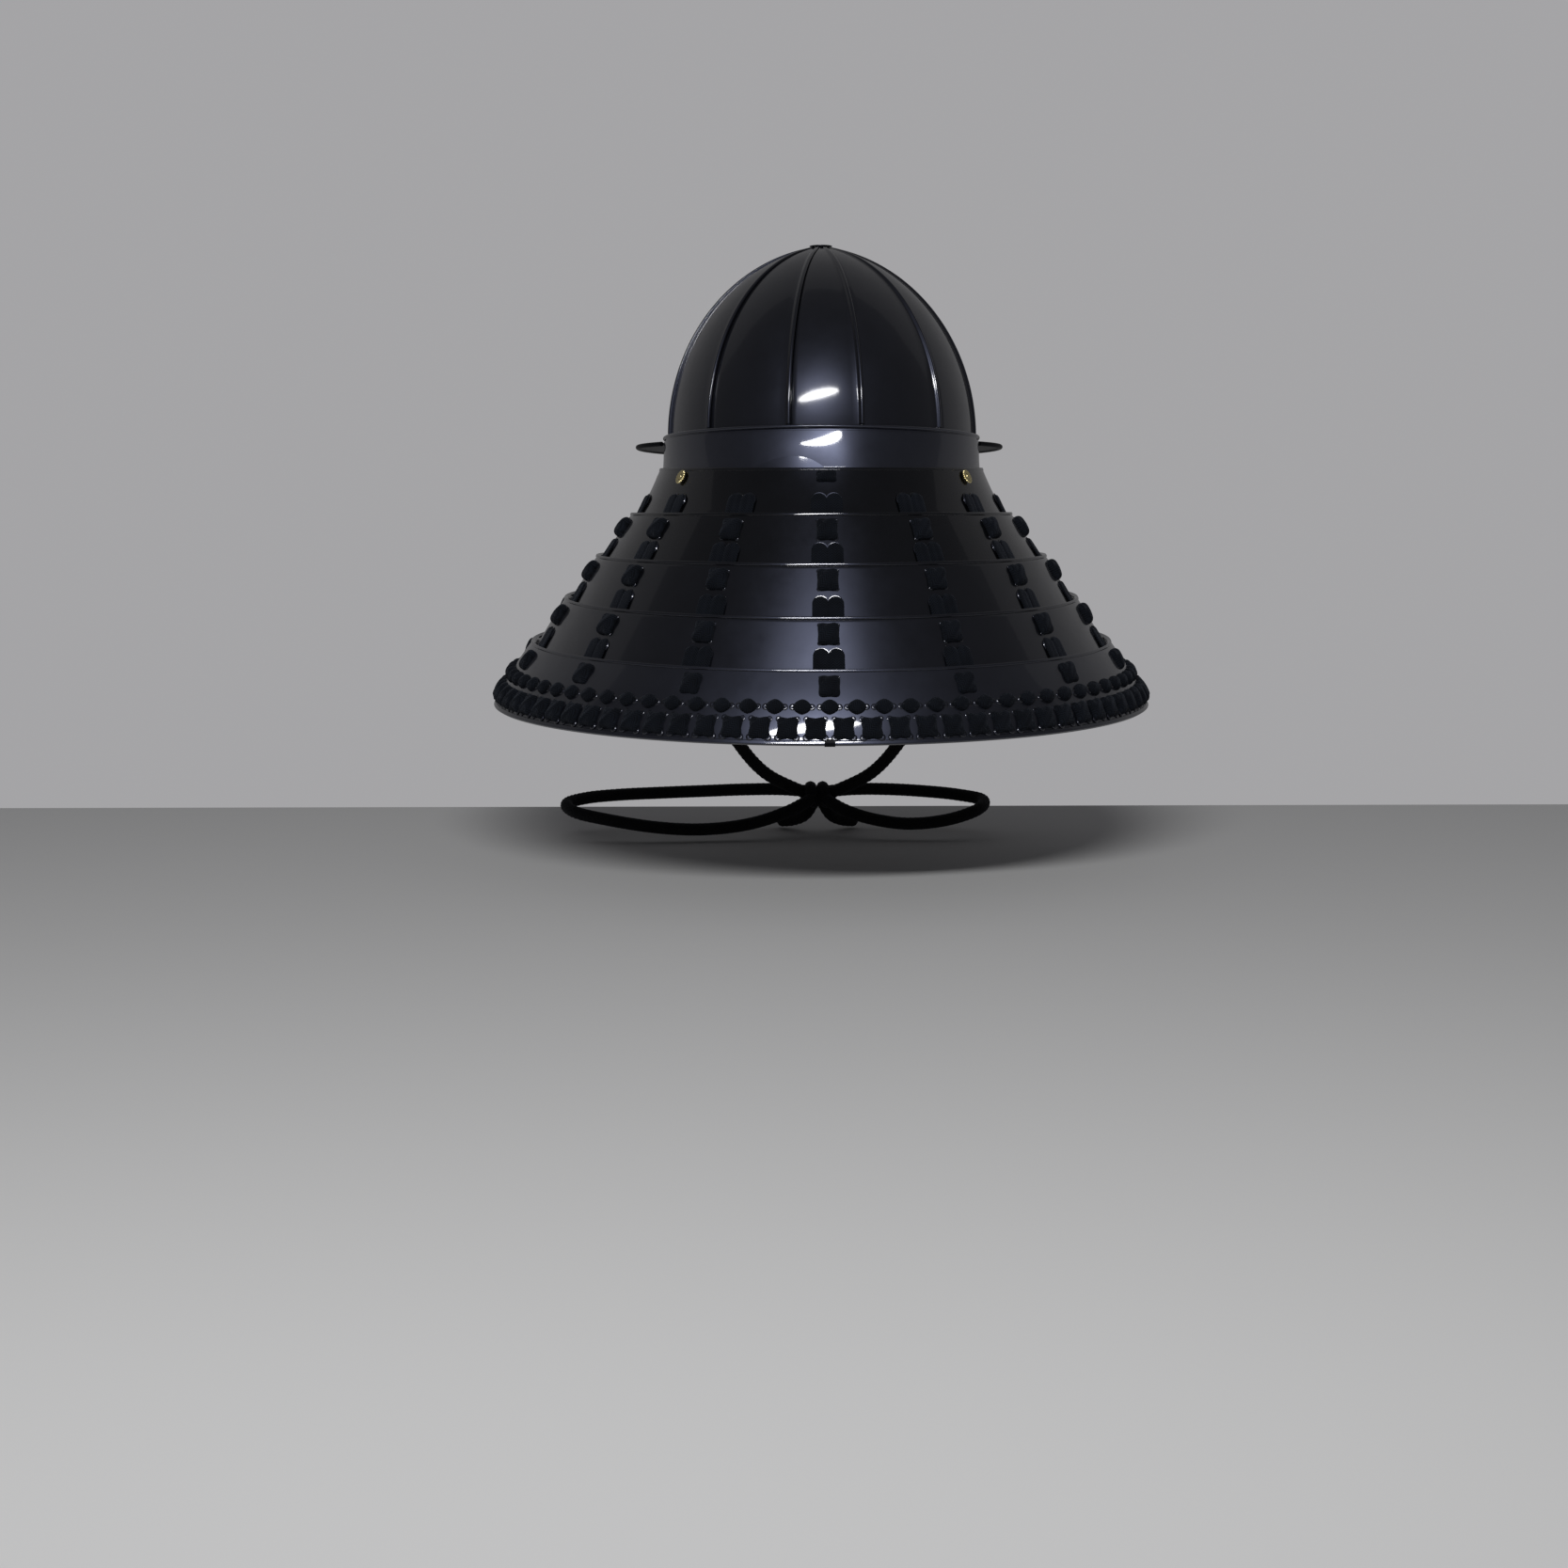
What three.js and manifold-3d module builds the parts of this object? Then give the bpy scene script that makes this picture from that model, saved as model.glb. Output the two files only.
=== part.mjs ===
// Kabuto: a lacquered samurai helmet. A bowl of twelve ribbed plates stands in a hip band, which
// carries a flat visor in front and a flared neck guard of five laced lames behind.
// Millimetres, +Z up. The origin is the centre of the bowl's base ring, the visor faces -Y and
// the neck guard's rim is level. Angles run round the helmet from the middle of its back (+Y)
// towards +X.
import * as THREE from 'three';
import { mergeVertices } from 'three/addons/utils/BufferGeometryUtils.js';
import Module from 'manifold-3d';

const wasm = await Module();
wasm.setup();

// Bowl
const bowlHalfWidth = 104.5;
const bowlHeight = 131.4;
const bowlArcRadius = 123; // of the pointed arch that is the bowl's profile
const bowlLengthRatio = 1.15; // length to width
const bowlLean = 8; // degrees that the bowl and its ring lean forward
const plateThickness = 1.6;
const plateTuck = 3.3; // degrees that a plate reaches under the next
const plateTuckDrop = 2.9;
const plateSideGap = 0.36;
const plateFoot = 8; // depth of the plates inside the hip band
const ribAnglesOneSide = [13.3, 47, 78.9, 108, 137, 166];
const ribHeight = 2;
const ribWidth = 2;
const ribFoot = 1.5; // height above the ring at which the ribs start
const ribFade = 0.7; // share of its height that a rib loses towards the crown
const ribLargestShare = 0.3; // of a plate's width, near the crown
const ribFlank = 1.4; // where a rib meets the plate, in half ribs
const tuckBend = { foot: 0.06, top: 0.08 }; // shares of a plate's width
const plateRows = 5;
const plateColumns = 2;

// Crown eyelet
const eyeletRadius = 7.8;
const eyeletFlange = 0.8;
const eyeletChamfer = 0.4;
const eyeletSides = 8;
const eyeletBore = 2.6;
const eyeletStem = { radius: 3.8, depth: 7 };
const crownHole = 6.3;

// Hip band
const bandThickness = 1.5;
const bandClearance = 0.8; // round the feet of the plates
const bandLip = 1;
const bandLipTop = 0.5;
const bandLipFoot = -0.9;
const bandSkirt = 14; // depth behind the first lame
const bandSegments = 32;
const bandFacetSag = 0.5; // how far the flats of the band lie inside its true curve

// Visor, a crescent in the ring's plane
const visorHalfWidth = 128;
const visorCentre = -60; // how far forward its widest place lies
const visorBackRadius = 76;
const visorFrontRadius = 98;
const visorThickness = 1.6;
const visorEdgeRadius = 1.6;
const visorEdgeNeck = 1.7; // width of the beaded edge, in edge radii
const visorDrop = 0.1; // below the band's lip
const visorTop = 0.02; // down the hip band, as bandPoint counts it
const visorGap = 0.75;
const visorRoot = { band: 101, edge: 60 }; // degrees at which each curve starts
const visorFlange = {
  start: 121, full: 132, thickness: 1.5, foot: 1.4, least: 0.22, leastFoot: 0.3,
};
const visorRivetAngles = [140, 180, 220];
const visorRivetSeat = 1.12; // down the hip band, as bandPoint counts it
const visorRivetHead = { radius: 3, rise: 2 };
const visorRivetPin = 1.5;
const visorRivetTail = { radius: 2.8, rise: 1.2 };
const visorRivetHoleRadius = 2.1;
const visorColumns = 18;

// Neck guard. Each row is a lame's top edge seen from above, as half an ellipse behind the
// helmet's widest place and another before it, and the last row is the rim: half width at the
// sides, reach at the back and in front, and the height at side and back.
const guardEdges = [
  { halfWidth: 110, reach: 135, front: 125, side: -20, back: -9.1 },
  { halfWidth: 129.5, reach: 155, front: 143, side: -50.6, back: -36.9 },
  { halfWidth: 153.2, reach: 176, front: 163, side: -79, back: -67.6 },
  { halfWidth: 175.1, reach: 197, front: 184, side: -107.6, back: -100.4 },
  { halfWidth: 197.9, reach: 217, front: 205, side: -137.3, back: -132.1 },
  { halfWidth: 224.8, reach: 240, front: 229, side: -181.5, back: -177.9 },
];
const lameEndMargin = 19; // from the last lace column to the lame's front end
const lameEndRounding = 3; // degrees by which the lower corners are drawn in
const lameEndSquare = 0.4; // share of a lame's height over which its ends stay square
const lameThickness = 1.5;
const lameStep = 4.8; // how far a lame's top edge stands out from the lame above
const lameLap = 8; // how far a lame reaches down behind the next
const rimBead = { radius: 1.3, sides: 3, neck: 0.8 };

// Lacing
const laceColumnSpacing = [27.2, 27.2, 26.6, 26.2, 25.6]; // degrees, on each lame
const laceColumnsPerSide = 4;
const laceThickness = 1.6;
const lacePairHalfWidth = 10;
const laceFlatMargin = 0.7; // of a lame's flat beside a slot
const laceTail = { first: 7, last: 9 }; // behind the first lame and the last
const laceGap = 0.45; // between a lace and the plate that it lies on
const pairSlotAboveLap = 10.5;
const knotBelowEdge = 12;
const knotHalfWidth = 6.35;
const knotHalfHeight = 7;
const knotRise = 5.5;
const knotPost = { halfWidth: 2.6, halfHeight: 2.2 };
const knotSink = 1; // how deep a knot and its post are joined
const slotClearance = 0.5;
const cutReach = 3; // how far a cutter stands clear of what it cuts
const backKnotBelowEdge = 6.2;
const backKnotSize = { halfWidth: 6, halfHeight: 3.2, foot: 0.65, rise: 4 };
const backKnotTail = { halfWidth: 4.2, halfHeight: 3.2, rise: 1.5, sink: 0.5 };

// Rivets and the rim's clip
const rivetAngles = [57, -57, 103, -103];
const rivetBelowEdge = 7;
const fastenerSeat = 1.3; // down the hip band, as bandPoint counts it
const rivetHead = { radius: 5, crown: 4, seat: 0.9, shoulder: 2.1, rise: 2.6 };
const rivetPin = 2;
const rivetTail = { radius: 3, rise: 1.4 };
const rivetSides = 6;
const clipHalfWidth = 3.7;
const clipThickness = 0.9;
const clipReach = 4.6; // up the lame from the clip's fold
const clipRoom = 0.6; // round the rim's bead

// Chin cord, tied in a bow
const cordRadius = 4.5;
const cordSides = 8;
const cordStep = 6; // from ring to ring of a cord, in its radii
const bowCentre = [0, -78, -258];
const bowSize = [24, 20, 18];
const tab = { width: 12, thickness: 1.8, drop: 17, above: 5, tip: 0.6, clearance: 2 };
const faceGap = 0.3;
const cordRoutes = {
  chin_cord_left: [
    [97.6, -25.8, -52.6], [97.6, -28, -72], [96, -34, -100], [90, -42, -140],
    [78, -52, -180], [60, -62, -214], [38, -71, -241], [7.2, -78.2, -257.8],
  ],
  chin_cord_right: [
    [-97.6, -25.8, -52.6], [-97.6, -28, -72], [-96, -34, -100], [-90, -42, -140],
    [-78, -52, -180], [-60, -62, -214], [-38, -71, -241], [-7.2, -78.2, -257.8],
  ],
  bow_loop_left: [
    [3, -84.5, -257], [26, -97, -257], [52, -103, -258], [82, -106, -259.5],
    [112, -105, -260.5], [142, -99, -261], [165, -87, -261.5], [178, -69, -263],
    [172, -52, -266], [150, -43, -270], [112, -40, -275.5], [80, -42, -277],
    [48, -48, -274], [22, -58, -267], [3, -71.5, -259],
  ],
  bow_loop_right: [
    [-3, -84.5, -257], [-26, -97, -257], [-50, -103, -258], [-76, -103, -259.5],
    [-100, -96, -261], [-117, -79, -262.5], [-112, -58, -266], [-90, -47, -271.5],
    [-62, -46, -274], [-36, -51, -271], [-18, -59, -266], [-3, -71.5, -259],
  ],
  bow_end_left: [[2.5, -79, -262], [9, -84, -273], [17, -92, -278], [28, -102, -280.5]],
  bow_end_right: [[-2.5, -79, -262], [-9, -84, -273], [-17, -92, -278], [-28, -102, -280.5]],
};

const lacquer = new THREE.MeshStandardMaterial({ color: 0x0c0c10, roughness: 0.3, metalness: 0 });
const bandLacquer = new THREE.MeshStandardMaterial({ color: 0x101014, roughness: 0.28 });
const braid = new THREE.MeshStandardMaterial({ color: 0x0c121d, roughness: 0.9, metalness: 0 });
const gilt = new THREE.MeshStandardMaterial({ color: 0xd0b050, roughness: 0.35, metalness: 1 });
const iron = new THREE.MeshStandardMaterial({ color: 0x1b1b1e, roughness: 0.5, metalness: 0.8 });
const cordBlack = new THREE.MeshStandardMaterial({ color: 0x0a0a0c, roughness: 0.95 });

const degrees = THREE.MathUtils.degToRad;
const vector = (x, y, z) => new THREE.Vector3(x, y, z);
const leanTurn = new THREE.Matrix4().makeRotationX(degrees(bowlLean));

// A closed body from its points and triangles, with the faces turned outwards.
function closedBody(points, faces) {
  const volume = faces.reduce((sum, [a, b, c]) => {
    const edge = points[b].clone().cross(points[c]);
    return sum + points[a].dot(edge);
  }, 0);
  const indices = faces.flatMap(([a, b, c]) => (volume > 0 ? [a, b, c] : [a, c, b]));
  return new wasm.Manifold(new wasm.Mesh({
    numProp: 3,
    vertProperties: new Float32Array(points.flatMap((point) => point.toArray())),
    triVerts: new Uint32Array(indices),
  }));
}

// The side faces between each section and the next, which all have the same number of corners.
function sideFaces(sections, spans) {
  const corners = sections[0].length;
  const faces = [];
  for (let row = 0; row < spans; row += 1) {
    const here = row * corners;
    const next = ((row + 1) % sections.length) * corners;
    for (let corner = 0; corner < corners; corner += 1) {
      const after = (corner + 1) % corners;
      faces.push([here + corner, next + corner, next + after]);
      faces.push([here + corner, next + after, here + after]);
    }
  }
  return faces;
}

// Skins a run of sections whose two ends are closed by the triangles of their flat outline.
function skin(sections, outline) {
  const faces = sideFaces(sections, sections.length - 1);
  const flat = outline.map(([x, y]) => new THREE.Vector2(x, y));
  const isClockwise = THREE.ShapeUtils.isClockWise(flat);
  const last = (sections.length - 1) * outline.length;
  for (const [a, b, c] of THREE.ShapeUtils.triangulateShape(flat, [])) {
    faces.push(isClockwise ? [a, c, b] : [a, b, c]);
    faces.push(isClockwise ? [last + a, last + b, last + c] : [last + a, last + c, last + b]);
  }
  return closedBody(sections.flat(), faces);
}

function skinRing(sections) {
  return closedBody(sections.flat(), sideFaces(sections, sections.length));
}

function solidOf(geometry) {
  geometry.deleteAttribute('normal');
  geometry.deleteAttribute('uv');
  const merged = mergeVertices(geometry, 1e-4);
  return new wasm.Manifold(new wasm.Mesh({
    numProp: 3,
    vertProperties: new Float32Array(merged.attributes.position.array),
    triVerts: new Uint32Array(merged.index.array),
  }));
}

function piece(name, solid, material) {
  const { vertProperties, triVerts } = solid.getMesh();
  const geometry = new THREE.BufferGeometry();
  geometry.setAttribute('position', new THREE.BufferAttribute(new Float32Array(vertProperties), 3));
  geometry.setIndex(new THREE.BufferAttribute(new Uint32Array(triVerts), 1));
  geometry.computeVertexNormals();
  const mesh = new THREE.Mesh(geometry, material);
  mesh.name = name;
  return mesh;
}

// Bowl

const archOffset = bowlArcRadius - bowlHalfWidth;
const archTip = Math.sqrt(bowlArcRadius ** 2 - archOffset ** 2);
const archScale = bowlHeight / archTip;

// A point of the bowl's half profile and its normal, by the angle up its arch.
function bowlProfile(arch) {
  const radius = bowlArcRadius * Math.cos(arch) - archOffset;
  const height = bowlArcRadius * Math.sin(arch) * archScale;
  const normal = new THREE.Vector2(Math.cos(arch) * archScale, Math.sin(arch)).normalize();
  return { radius, height, normal };
}

// A point in the leaning ring's frame, by its angle, its half width there and its height.
function ringPoint(angle, halfWidth, height) {
  const turn = degrees(angle);
  const y = halfWidth * bowlLengthRatio * Math.cos(turn);
  return vector(halfWidth * Math.sin(turn), y, height).applyMatrix4(leanTurn);
}

function bowlRows() {
  const top = Math.acos((archOffset + crownHole) / bowlArcRadius);
  const foot = bowlProfile(0);
  const rows = [
    { ...foot, height: -plateFoot, rib: 0 },
    { ...foot, height: bandLipTop + faceGap, rib: 0 },
  ];
  const first = Math.asin(ribFoot / (bowlArcRadius * archScale));
  for (let row = 0; row <= plateRows; row += 1) {
    const rise = row / plateRows;
    const rib = ribHeight * (1 - ribFade * rise ** 3);
    rows.push({ ...bowlProfile(THREE.MathUtils.lerp(first, top, rise)), rib });
  }
  return rows;
}

// One plate: a rib stands along its first edge, and its other edge tucks under the next plate.
function bowlPlate(start, end) {
  const sector = end - start;
  const outlineOf = (row) => {
    const halfRib = Math.min(ribWidth / row.radius / degrees(1), sector * ribLargestShare) / 2;
    const halfGap = plateSideGap / row.radius / 2 / degrees(1);
    const near = start - halfRib + halfGap;
    const far = end - halfRib - halfGap;
    const outer = [[near, row.rib], [start + halfRib, row.rib], [start + halfRib * ribFlank, 0]];
    for (let column = 1; column < plateColumns; column += 1) {
      outer.push([THREE.MathUtils.lerp(start, end, column / plateColumns), 0]);
    }
    const tucked = [[far, 0], [far, -plateTuckDrop], [end + plateTuck, -plateTuckDrop]];
    const under = [[end + plateTuck, -plateTuckDrop - plateThickness]];
    under.push([far - sector * tuckBend.foot, -plateTuckDrop - plateThickness]);
    under.push([far - sector * tuckBend.top, -plateThickness]);
    for (let column = plateColumns - 1; column > 0; column -= 1) {
      under.push([THREE.MathUtils.lerp(start, end, column / plateColumns), -plateThickness]);
    }
    return [...outer, ...tucked, ...under, [near, -plateThickness]];
  };
  const sections = bowlRows().map((row) => outlineOf(row).map(([angle, offset]) => {
    const radius = row.radius + row.normal.x * offset;
    return ringPoint(angle, radius, row.height + row.normal.y * offset);
  }));
  return skin(sections, outlineOf(bowlRows()[0]));
}

function crownEyelet() {
  const seat = bowlProfile(Math.acos((archOffset + crownHole) / bowlArcRadius)).height;
  const under = seat + ribHeight * (1 - ribFade) + faceGap;
  const profile = [
    [eyeletBore, under - eyeletStem.depth],
    [eyeletStem.radius, under - eyeletStem.depth],
    [eyeletStem.radius, under],
    [eyeletRadius, under],
    [eyeletRadius - eyeletChamfer, under + eyeletFlange],
    [eyeletBore, under + eyeletFlange],
    [eyeletBore, under - eyeletStem.depth],
  ].map(([radius, height]) => new THREE.Vector2(radius, height));
  const lathe = new THREE.LatheGeometry(profile, eyeletSides).rotateX(Math.PI / 2);
  return solidOf(lathe.applyMatrix4(leanTurn));
}

// Neck guard

const lastLame = guardEdges.length - 2;
const chordHalfAngle = 0.5; // degrees, of the chord that gives a lame's way across
const laceColumns = Array.from({ length: 2 * laceColumnsPerSide + 1 },
  (_, index) => index - laceColumnsPerSide);

// Half the width, in degrees, of the flat that a lame has behind each lace column.
function halfFlat(lame) {
  const half = lacePairHalfWidth + slotClearance + laceFlatMargin;
  return half / guardEdges[lame].halfWidth / degrees(1);
}

// A point on an edge's curve, by its angle from the back.
function edgePoint(edge, angle) {
  const turn = degrees(angle);
  const reach = Math.cos(turn) > 0 ? edge.reach : edge.front;
  const height = THREE.MathUtils.lerp(edge.side, edge.back, Math.cos(turn));
  return vector(edge.halfWidth * Math.sin(turn), reach * Math.cos(turn), height);
}

function drawnIn(edge, distance) {
  const { halfWidth, reach, front } = edge;
  return {
    ...edge, halfWidth: halfWidth - distance, reach: reach - distance, front: front - distance,
  };
}

// A lame's place at one angle: its top edge, the ways down, out and across, and its slant.
// Over a half width in degrees the lame is flat there, and the place lies on the flat.
function lamePlace(lame, angle, halfFlat = 0) {
  const edge = guardEdges[lame];
  const isLast = lame === lastLame;
  const next = drawnIn(guardEdges[lame + 1], isLast ? 0 : lameStep);
  const spread = Math.max(halfFlat, chordHalfAngle);
  const middleOf = (curve) => edgePoint(curve, angle - halfFlat)
    .add(edgePoint(curve, angle + halfFlat)).multiplyScalar(0.5);
  const chordOf = (curve) => edgePoint(curve, angle + spread).sub(edgePoint(curve, angle - spread));
  const top = middleOf(edge);
  const down = middleOf(next).sub(top);
  const slant = down.length();
  down.normalize();
  const across = chordOf(edge).add(chordOf(next));
  const out = across.clone().cross(down).normalize();
  across.copy(down).cross(out);
  return { lame, angle, top, down, out, across, slant };
}

// A point by its distances sideways, down the slant and out from the lame's outer face.
function onLame(place, sideways, below, outwards) {
  return place.top.clone()
    .addScaledVector(place.across, sideways)
    .addScaledVector(place.down, below)
    .addScaledVector(place.out, outwards);
}

function lameOutline(lame, slant) {
  const isLast = lame === lastLame;
  const foot = isLast ? slant - rimBead.radius : slant + lameLap;
  const bead = [];
  if (isLast) {
    for (let side = 0; side < rimBead.sides; side += 1) {
      const turn = (Math.PI * side) / (rimBead.sides - 1);
      const reach = rimBead.radius * Math.sin(turn);
      bead.push([foot + reach, -lameThickness / 2 + rimBead.radius * Math.cos(turn)]);
    }
  }
  const neck = foot - rimBead.neck;
  const foots = isLast ? [[neck, 0], ...bead, [neck, -lameThickness]]
    : [[foot, 0], [foot, -lameThickness]];
  return [[0, 0], ...foots, [0, -lameThickness]];
}

// The angles at which a lame bends: it is flat behind each lace column, with one bend between
// two columns.
function lameBends(lame) {
  const spacing = laceColumnSpacing[lame];
  const bends = laceColumns.flatMap((column) => {
    const middle = column * spacing;
    const flat = halfFlat(lame);
    return [middle - flat, middle + flat, middle + spacing / 2];
  });
  bends.pop();
  const end = laceColumnsPerSide * spacing
    + lameEndMargin / guardEdges[lame].halfWidth / degrees(1);
  return { bends: [-end, ...bends, end], end };
}

function lameBody(lame) {
  const reference = lamePlace(lame, 90).slant;
  const { bends, end } = lameBends(lame);
  const sections = bends.map((angle) => lameOutline(lame, reference).map(([below, outwards]) => {
    const isEnd = Math.abs(angle) === end;
    const share = Math.max(0, below / reference - lameEndSquare);
    const drawn = isEnd ? lameEndRounding * share : 0;
    const place = lamePlace(lame, angle - Math.sign(angle) * drawn);
    return onLame(place, 0, (below * place.slant) / reference, outwards);
  }));
  return skin(sections, lameOutline(lame, reference));
}

// A block set on a lame: its flat outline is [sideways, below] and it spans two heights.
function blockOn(place, outline, inside, outside) {
  const level = (height) => outline.map(([sideways, below]) => (
    onLame(place, sideways, below, height)
  ));
  return skin([level(inside), level(outside)], outline);
}

function rectangle(halfWidth, halfHeight, middle) {
  return [
    [-halfWidth, middle - halfHeight], [halfWidth, middle - halfHeight],
    [halfWidth, middle + halfHeight], [-halfWidth, middle + halfHeight],
  ];
}

// Lacing

const laceOutside = laceGap + laceThickness / 2;
const laceInside = -lameThickness - laceGap - laceThickness / 2;

function columnPlace(lame, column) {
  return lamePlace(lame, column * laceColumnSpacing[lame], halfFlat(lame));
}

function pairSlotHeight(place) {
  return place.slant - pairSlotAboveLap;
}

// The flat pair of laces: it hangs outside one lame, passes behind the next and comes out
// through that one's slot.
function laceBand(column) {
  const path = [];
  for (let lame = 0; lame <= lastLame; lame += 1) {
    const place = columnPlace(lame, column);
    const slot = pairSlotHeight(place);
    if (lame === 0) {
      path.push({ place, centre: onLame(place, 0, slot - laceTail.first, laceInside) });
    }
    if (lame < lastLame) {
      const foot = onLame(place, 0, place.slant + lameLap, 0);
      const behind = onLame(columnPlace(lame + 1, column), 0, lameLap, -lameThickness);
      path.push({ place, centre: onLame(place, 0, slot, laceInside) });
      path.push({ place, centre: onLame(place, 0, slot, laceOutside) });
      path.push({ place, centre: foot.lerp(behind, 0.5) });
    } else {
      const tail = knotBelowEdge + laceTail.last;
      path.push({ place, centre: onLame(place, 0, tail, laceInside) });
    }
  }
  const sections = path.map(({ place, centre }, index) => {
    const before = path[Math.max(index - 1, 0)].centre;
    const after = path[Math.min(index + 1, path.length - 1)].centre;
    const arriving = index > 0 ? centre.clone().sub(before) : after.clone().sub(centre);
    const leaving = index < path.length - 1 ? after.clone().sub(centre) : arriving.clone();
    const faceOf = (way) => place.across.clone().cross(way.normalize()).normalize();
    const first = faceOf(arriving);
    const second = faceOf(leaving);
    const mitre = first.clone().add(second).divideScalar(1 + first.dot(second));
    const corner = (side, face) => centre.clone()
      .addScaledVector(place.across, side * lacePairHalfWidth)
      .addScaledVector(mitre, (face * laceThickness) / 2);
    return [corner(-1, -1), corner(1, -1), corner(1, 1), corner(-1, 1)];
  });
  return skin(sections, [[-1, -1], [1, -1], [1, 1], [-1, 1]]);
}

function postOutline(middle, clearance = 0) {
  return rectangle(knotPost.halfWidth + clearance, knotPost.halfHeight + clearance, middle);
}

function crossKnot(place, middle, inside) {
  const knot = blockOn(place, rectangle(knotHalfWidth, knotHalfHeight, middle), laceGap, knotRise);
  return knot.add(blockOn(place, postOutline(middle), inside, laceGap + knotSink));
}

function laceColumn(column) {
  const solids = [laceBand(column)];
  for (let lame = 1; lame <= lastLame; lame += 1) {
    solids.push(crossKnot(columnPlace(lame, column), knotBelowEdge, laceInside));
  }
  return wasm.Manifold.union(solids);
}

// The slots that one lame needs for its laces.
function laceSlots(lame) {
  const slots = [];
  const inside = -lameThickness - cutReach;
  const outside = cutReach;
  for (const column of laceColumns) {
    const place = columnPlace(lame, column);
    if (lame < lastLame) {
      const halfHeight = laceThickness / 2 + slotClearance;
      const slot = rectangle(lacePairHalfWidth + slotClearance, halfHeight, pairSlotHeight(place));
      slots.push(blockOn(place, slot, inside, outside));
    }
    if (lame > 0) {
      slots.push(blockOn(place, postOutline(knotBelowEdge, slotClearance), inside, outside));
    }
  }
  return slots;
}

// Fastenings through the first lame and the hip band

const backKnotPlace = columnPlace(0, 0);

// How deep the inner face of the hip band lies behind a place on the first lame, with room for
// what bears on that face.
function bandDepth(place, below, halfSize) {
  const wall = bandPoint(place.angle, fastenerSeat, -bandThickness);
  const level = wall.clone().sub(bandPoint(place.angle, fastenerSeat, -bandThickness - 1));
  const slope = place.out.dot(level);
  const depth = onLame(place, 0, below, 0).sub(wall).dot(level) / slope;
  return depth + halfSize * Math.sqrt(1 - slope ** 2) + bandFacetSag + faceGap;
}

function backKnot() {
  const { halfWidth, halfHeight, foot, rise } = backKnotSize;
  const tail = backKnotTail;
  const depth = bandDepth(backKnotPlace, backKnotBelowEdge, tail.halfHeight);
  const knotOutline = rectangle(halfWidth, halfHeight, backKnotBelowEdge);
  const tailOutline = rectangle(tail.halfWidth, tail.halfHeight, backKnotBelowEdge);
  const post = postOutline(backKnotBelowEdge);
  return wasm.Manifold.union([
    blockOn(backKnotPlace, knotOutline, foot, rise),
    blockOn(backKnotPlace, post, -depth - tail.sink, foot + knotSink),
    blockOn(backKnotPlace, tailOutline, -depth - tail.rise, -depth),
  ]);
}

function backKnotSlot() {
  const outline = postOutline(backKnotBelowEdge, slotClearance);
  const depth = bandDepth(backKnotPlace, backKnotBelowEdge, 0);
  return blockOn(backKnotPlace, outline, -depth - cutReach, cutReach);
}

// Turns a shape made along +Z so that it stands on a lame.
function standOn(place, below, geometry) {
  const turn = new THREE.Matrix4().makeBasis(place.across, place.down, place.out);
  return geometry.applyMatrix4(turn.setPosition(onLame(place, 0, below, 0)));
}

function latheBody(profile, sides = rivetSides) {
  const points = profile.map(([radius, height]) => new THREE.Vector2(radius, height));
  return new THREE.LatheGeometry(points, sides).rotateX(Math.PI / 2);
}

function rivet(angle) {
  const place = lamePlace(0, angle);
  const depth = bandDepth(place, rivetBelowEdge, rivetTail.radius);
  return solidOf(standOn(place, rivetBelowEdge, latheBody([
    [0, -depth - rivetTail.rise], [rivetTail.radius, -depth - rivetTail.rise],
    [rivetTail.radius, -depth], [rivetPin, -depth], [rivetPin, rivetHead.seat],
    [rivetHead.radius, rivetHead.seat], [rivetHead.crown, rivetHead.shoulder],
    [0, rivetHead.rise],
  ])));
}

function rivetHole(angle) {
  const place = lamePlace(0, angle);
  const foot = -bandDepth(place, rivetBelowEdge, 0) - cutReach;
  const radius = rivetPin + faceGap;
  const cutter = latheBody([[0, foot], [radius, foot], [radius, cutReach], [0, cutReach]]);
  return solidOf(standOn(place, rivetBelowEdge, cutter));
}

// The clip that closes the rim's bead at the back: a channel folded over the edge.
function rimClip() {
  const place = lamePlace(lastLame, 0);
  const room = rimBead.radius + clipRoom;
  const wall = room + clipThickness;
  const middle = -lameThickness / 2;
  const foot = place.slant + room;
  const top = foot - clipReach;
  const profile = [
    [top, middle + room], [foot, middle + room], [foot, middle - room], [top, middle - room],
    [top, middle - wall], [foot + clipThickness, middle - wall],
    [foot + clipThickness, middle + wall], [top, middle + wall],
  ];
  const side = (sideways) => profile.map(([below, outwards]) => (
    onLame(place, sideways, below, outwards)
  ));
  return skin([side(-clipHalfWidth), side(clipHalfWidth)], profile);
}

// Hip band

const bandInside = bowlHalfWidth + bandClearance;
const bandOutside = bandInside + bandThickness;
const bandJoint = drawnIn(guardEdges[0], 2.3);

function lowered(edge, distance) {
  return { ...edge, side: edge.side - distance, back: edge.back - distance };
}

// A point off the band's outer face: share 0 is under its lip, 1 the first lame's top edge and
// 2 its foot.
function bandPoint(angle, share, outwards) {
  const joint = edgePoint(bandJoint, angle);
  const foot = edgePoint(lowered(bandJoint, bandSkirt), angle);
  const point = share < 1
    ? ringPoint(angle, bandOutside, bandLipFoot).lerp(joint, share)
    : joint.lerp(foot, share - 1);
  const turn = degrees(angle);
  const level = vector(Math.sin(turn) / bandJoint.halfWidth, Math.cos(turn) / bandJoint.reach, 0);
  return point.addScaledVector(level.normalize(), outwards);
}

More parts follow.
